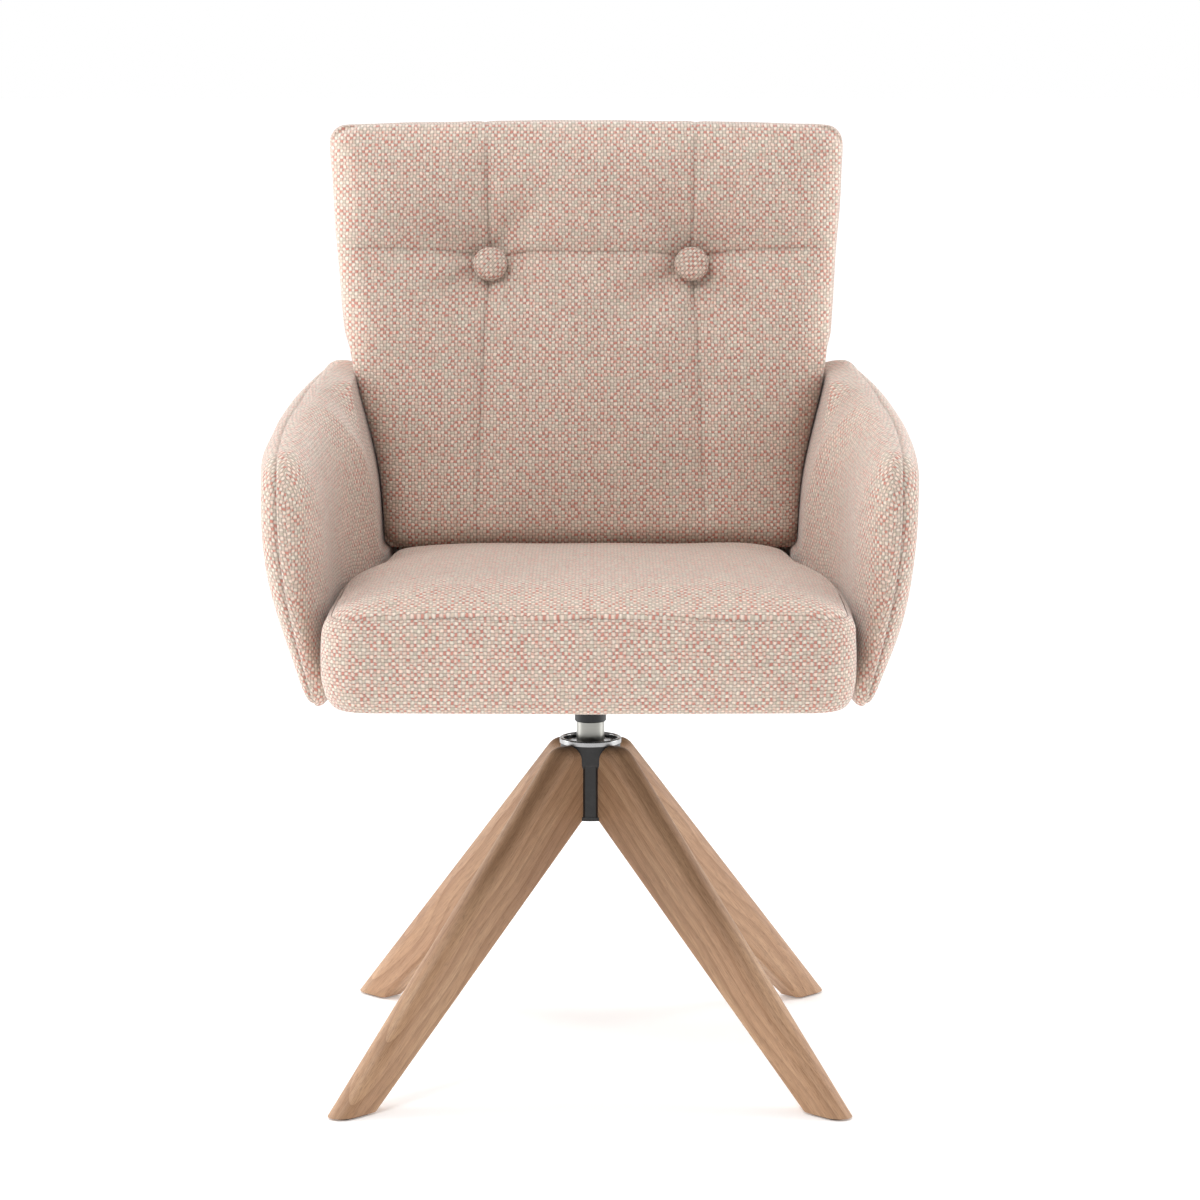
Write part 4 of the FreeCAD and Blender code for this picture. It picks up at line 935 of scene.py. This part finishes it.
def make_dust_cover():
    """Thin cloth pulled flat under the rails, with a square opening round the seat plate.
    Also gives the flat area of its cut: the outline less the opening."""
    line, places = seat_outline()
    shrink = SEAT_HI.x - COVER_HI.x
    outer = line - outward(line) * shrink
    outer[:, 1] = np.minimum(outer[:, 1], COVER_HI.y)
    angle = np.arctan2(outer[:, 1], outer[:, 0])
    hole = (PLATE_HI.x + 0.002, PLATE_HI.y + 0.002)
    reach = 1 / np.maximum(np.abs(np.cos(angle)) / hole[0], np.abs(np.sin(angle)) / hole[1])
    inner = np.stack([np.cos(angle), np.sin(angle)], 1) * reach[:, None]
    rows = []
    for t in np.linspace(0, 1, 22):
        p = outer + (inner - outer) * t
        sag = 0.0010 * math.sin(math.pi * t) + 0.0004 * ripple(p, 61, 0.05) * math.sin(math.pi * t)
        pull = 0.0003 * np.cos(places * 2 * math.pi / 0.045) * max(0.0, 1 - t * 6)
        rows.append(np.column_stack([p, COVER_HI.z - 0.0005 - sag + pull]))
    rows = np.array(rows)
    cut = plan_area(outer) - plan_area(inner)
    return mesh_piece("dust_cover_cloth", [(rows, rows[..., :2].copy())]), cut


# ---------------------------------------------------------------- build

weave = basket_weave("upholstery_weave")

seat = make_seat()
back = make_back()
outer_pad = make_outer_pad()
arm_left = make_arm("arm_cover_left", -1)
arm_right = make_arm("arm_cover_right", 1)
button_left = make_button("button_cover_left", -BUTTON_X)
button_right = make_button("button_cover_right", BUTTON_X)
puffed(seat, seat_sewn, 0.003, 1.5)
puffed(back, back_sewn, 0.003, 8.0)
finish_soft(seat, weave, "seat", ["seat_cushion"])
finish_soft(back, weave, "seat", ["back_cushion"])
finish_soft(outer_pad, weave, "seat", ["back_outer_pad"])
finish_soft(arm_left, weave, "seat", ["arm_pad_left"])
finish_soft(arm_right, weave, "seat", ["arm_pad_right"])
finish_soft(button_left, weave, "seat", ["back_button_left"])
finish_soft(button_right, weave, "seat", ["back_button_right"])

cover, cover_cut = make_dust_cover()
cover.data.materials.append(felt("bonded_black_cloth", (0.016, 0.016, 0.017), 1400.0, 0.0002))
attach(cover, "seat")
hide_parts("dust_cover")

LEG_TURN = {"leg_front_left": 225, "leg_front_right": 315, "leg_rear_right": 45, "leg_rear_left": 135}
LEG_SLOPE = math.radians(46.4)
for number, (leg, degrees) in enumerate(LEG_TURN.items()):
    turn = math.radians(degrees)
    out = np.array([math.cos(turn), math.sin(turn), 0])
    down = out * math.sin(LEG_SLOPE) - np.array([0, 0, math.cos(LEG_SLOPE)])
    across = np.array([-math.sin(turn), math.cos(turn), 0])
    wood = oak("oak_" + leg, down, across, number * 2.7 + 0.6)
    NODES[leg].data.materials.clear()
    NODES[leg].data.materials.append(wood)

black_cast = painted("black_cast", srgb(38, 37, 37), 0.42)
black_plastic = painted("black_plastic", srgb(34, 34, 35), 0.5, 1400.0, 0.00004)
plate_paint = painted("plate_powder_coat", srgb(48, 48, 49), 0.55, 1800.0, 0.00012)
chrome = metal("bright_chrome", (0.78, 0.78, 0.79), 0.14, (300.0, 300.0, 300.0), spread_by=0.06)
steel = metal("brushed_column", (0.34, 0.335, 0.31), 0.30)
# the hub ring is chrome painted much darker than bright_chrome: painted shade standing in for its dark
# recessed look
shaded_ring_chrome = metal("shaded_ring_chrome", (0.36, 0.36, 0.36), 0.22, (300.0, 300.0, 300.0), spread_by=0.06)
ground = metal("bearing_steel", (0.55, 0.55, 0.56), 0.22)
zinc = metal("zinc_plate", (0.55, 0.53, 0.47), 0.34, (500.0, 500.0, 500.0))
glide = felt("glide_felt", (0.20, 0.155, 0.12), 1800.0)
long_strap = strap("webbing_long", (0.045, 0.045, 0.05), "y")
cross_strap = strap("webbing_cross", (0.045, 0.045, 0.05), "x")
twine = cord_material("waxed_twine", (0.62, 0.55, 0.44))
rail_x = timber("sawn_timber_x", srgb(206, 178, 140), srgb(160, 126, 88), "x")
rail_y = timber("sawn_timber_y", srgb(206, 178, 140), srgb(160, 126, 88), "y")
ply = timber("plywood", srgb(214, 186, 148), srgb(164, 130, 92), "z", ply=True)

FINISHES = {
    "hub_casting": black_cast, "hub_ring": shaded_ring_chrome, "hub_bottom_cap": black_plastic,
    "leg_bolts": zinc, "leg_inserts": zinc, "foot_glides": glide,
    "upper_bearing_outer_ring": ground, "lower_bearing_outer_ring": ground,
    "upper_bearing_inner_ring": ground, "upper_bearing_balls": chrome,
    "lower_bearing_inner_ring": ground, "lower_bearing_balls": chrome,
    "swivel_column": steel, "column_thrust_washer": chrome, "spindle_washer": zinc, "spindle_nut": zinc,
    "column_collar": black_plastic,
    "seat_plate": plate_paint, "seat_plate_bolts": zinc, "seat_tee_nuts": zinc,
    "seat_cross_rails": rail_x, "seat_rail_front": rail_x, "seat_rail_rear": rail_x,
    "seat_rail_left": rail_y, "seat_rail_right": rail_y,
    "seat_webbing_long": long_strap, "seat_webbing_cross": cross_strap,
    "arm_panel_left": ply, "arm_panel_right": ply, "arm_spacers": rail_y, "arm_bolts": zinc,
    "back_panel": ply, "back_screws": zinc, "button_twines": twine, "button_toggles": black_plastic,
}
for name, finish in FINISHES.items():
    NODES[name].data.materials.clear()
    NODES[name].data.materials.append(finish)

# ---------------------------------------------------------------- stage, light and camera

FLOOR = 80.0
floor_corners = [(x * FLOOR, y * FLOOR, 0) for x, y in ((-1, -1), (1, -1), (1, 1), (-1, 1))]
floor_mesh = bpy.data.meshes.new("floor")
floor_mesh.from_pydata(floor_corners, [], [(0, 1, 2, 3)])
floor = bpy.data.objects.new("floor", floor_mesh)
bpy.context.scene.collection.objects.link(floor)
pale = Shader("pale_floor", Roughness=0.9, Specular_IOR_Level=0.1)
pale.bsdf.inputs["Base Color"].default_value = (0.97, 0.97, 0.97, 1)
pale.bsdf.inputs["Emission Color"].default_value = (1, 1, 1, 1)
pale.bsdf.inputs["Emission Strength"].default_value = 0.16
floor.data.materials.append(pale.material)

world = bpy.data.worlds.new("studio")
bpy.context.scene.world = world
world.use_nodes = True
world.node_tree.nodes["Background"].inputs[0].default_value = (1, 1, 1, 1)
tree = world.node_tree
direction = tree.nodes.new("ShaderNodeTexCoord")
height = tree.nodes.new("ShaderNodeSeparateXYZ")
dome = tree.nodes.new("ShaderNodeValToRGB")
for place, value in ((0.06, 1.0), (0.20, 0.85), (0.50, 1.05)):
    dome.color_ramp.elements.new(place).color = (value, value, value, 1)
dome.color_ramp.elements[0].color = (1, 1, 1, 1)
dome.color_ramp.elements[-1].color = (1.55, 1.55, 1.55, 1)
tree.links.new(direction.outputs["Generated"], height.inputs[0])
tree.links.new(height.outputs[2], dome.inputs[0])
front = tree.nodes.new("ShaderNodeMath")
front.operation = "MULTIPLY_ADD"
front.use_clamp = True
front.inputs[1].default_value = 0.60
front.inputs[2].default_value = 0.86
tree.links.new(height.outputs[1], front.inputs[0])
tree.links.new(dome.outputs[0], tree.nodes["Background"].inputs[0])
tree.links.new(front.outputs[0], tree.nodes["Background"].inputs[1])


def area_light(name, place, target, size, power, colour=(1, 1, 1)):
    data = bpy.data.lights.new(name, "AREA")
    data.shape = "RECTANGLE"
    data.size, data.size_y = size
    data.energy = power
    data.color = colour
    lamp = bpy.data.objects.new(name, data)
    bpy.context.scene.collection.objects.link(lamp)
    lamp.location = place
    toward = Vector(target) - Vector(place)
    lamp.rotation_euler = toward.to_track_quat("-Z", "Y").to_euler()


area_light("key", (-1.3, -2.0, 3.1), (0, 0, 0.4), (1.2, 1.2), 40)
area_light("side_left", (-2.4, 0.5, 0.9), (-0.2, 0, 0.4), (1.2, 2.0), 36)
area_light("side_right", (2.4, 0.5, 0.9), (0.2, 0, 0.4), (1.2, 2.0), 30)

bpy.context.scene.view_settings.view_transform = "Standard"

# the camera that was fitted to the photo: millimetres of lens, metres, and radians below level
LENS = 109.36
CAMERA_PLACE = (0.0091, -3.4336, 0.9533)
CAMERA_DIP = 0.1478

camera_data = bpy.data.cameras.new("camera")
camera_data.sensor_width = 36
camera_data.lens = LENS
camera = bpy.data.objects.new("camera", camera_data)
bpy.context.scene.collection.objects.link(camera)
camera.location = CAMERA_PLACE
camera.rotation_euler = (math.pi / 2 - CAMERA_DIP, 0, 0)
bpy.context.scene.camera = camera
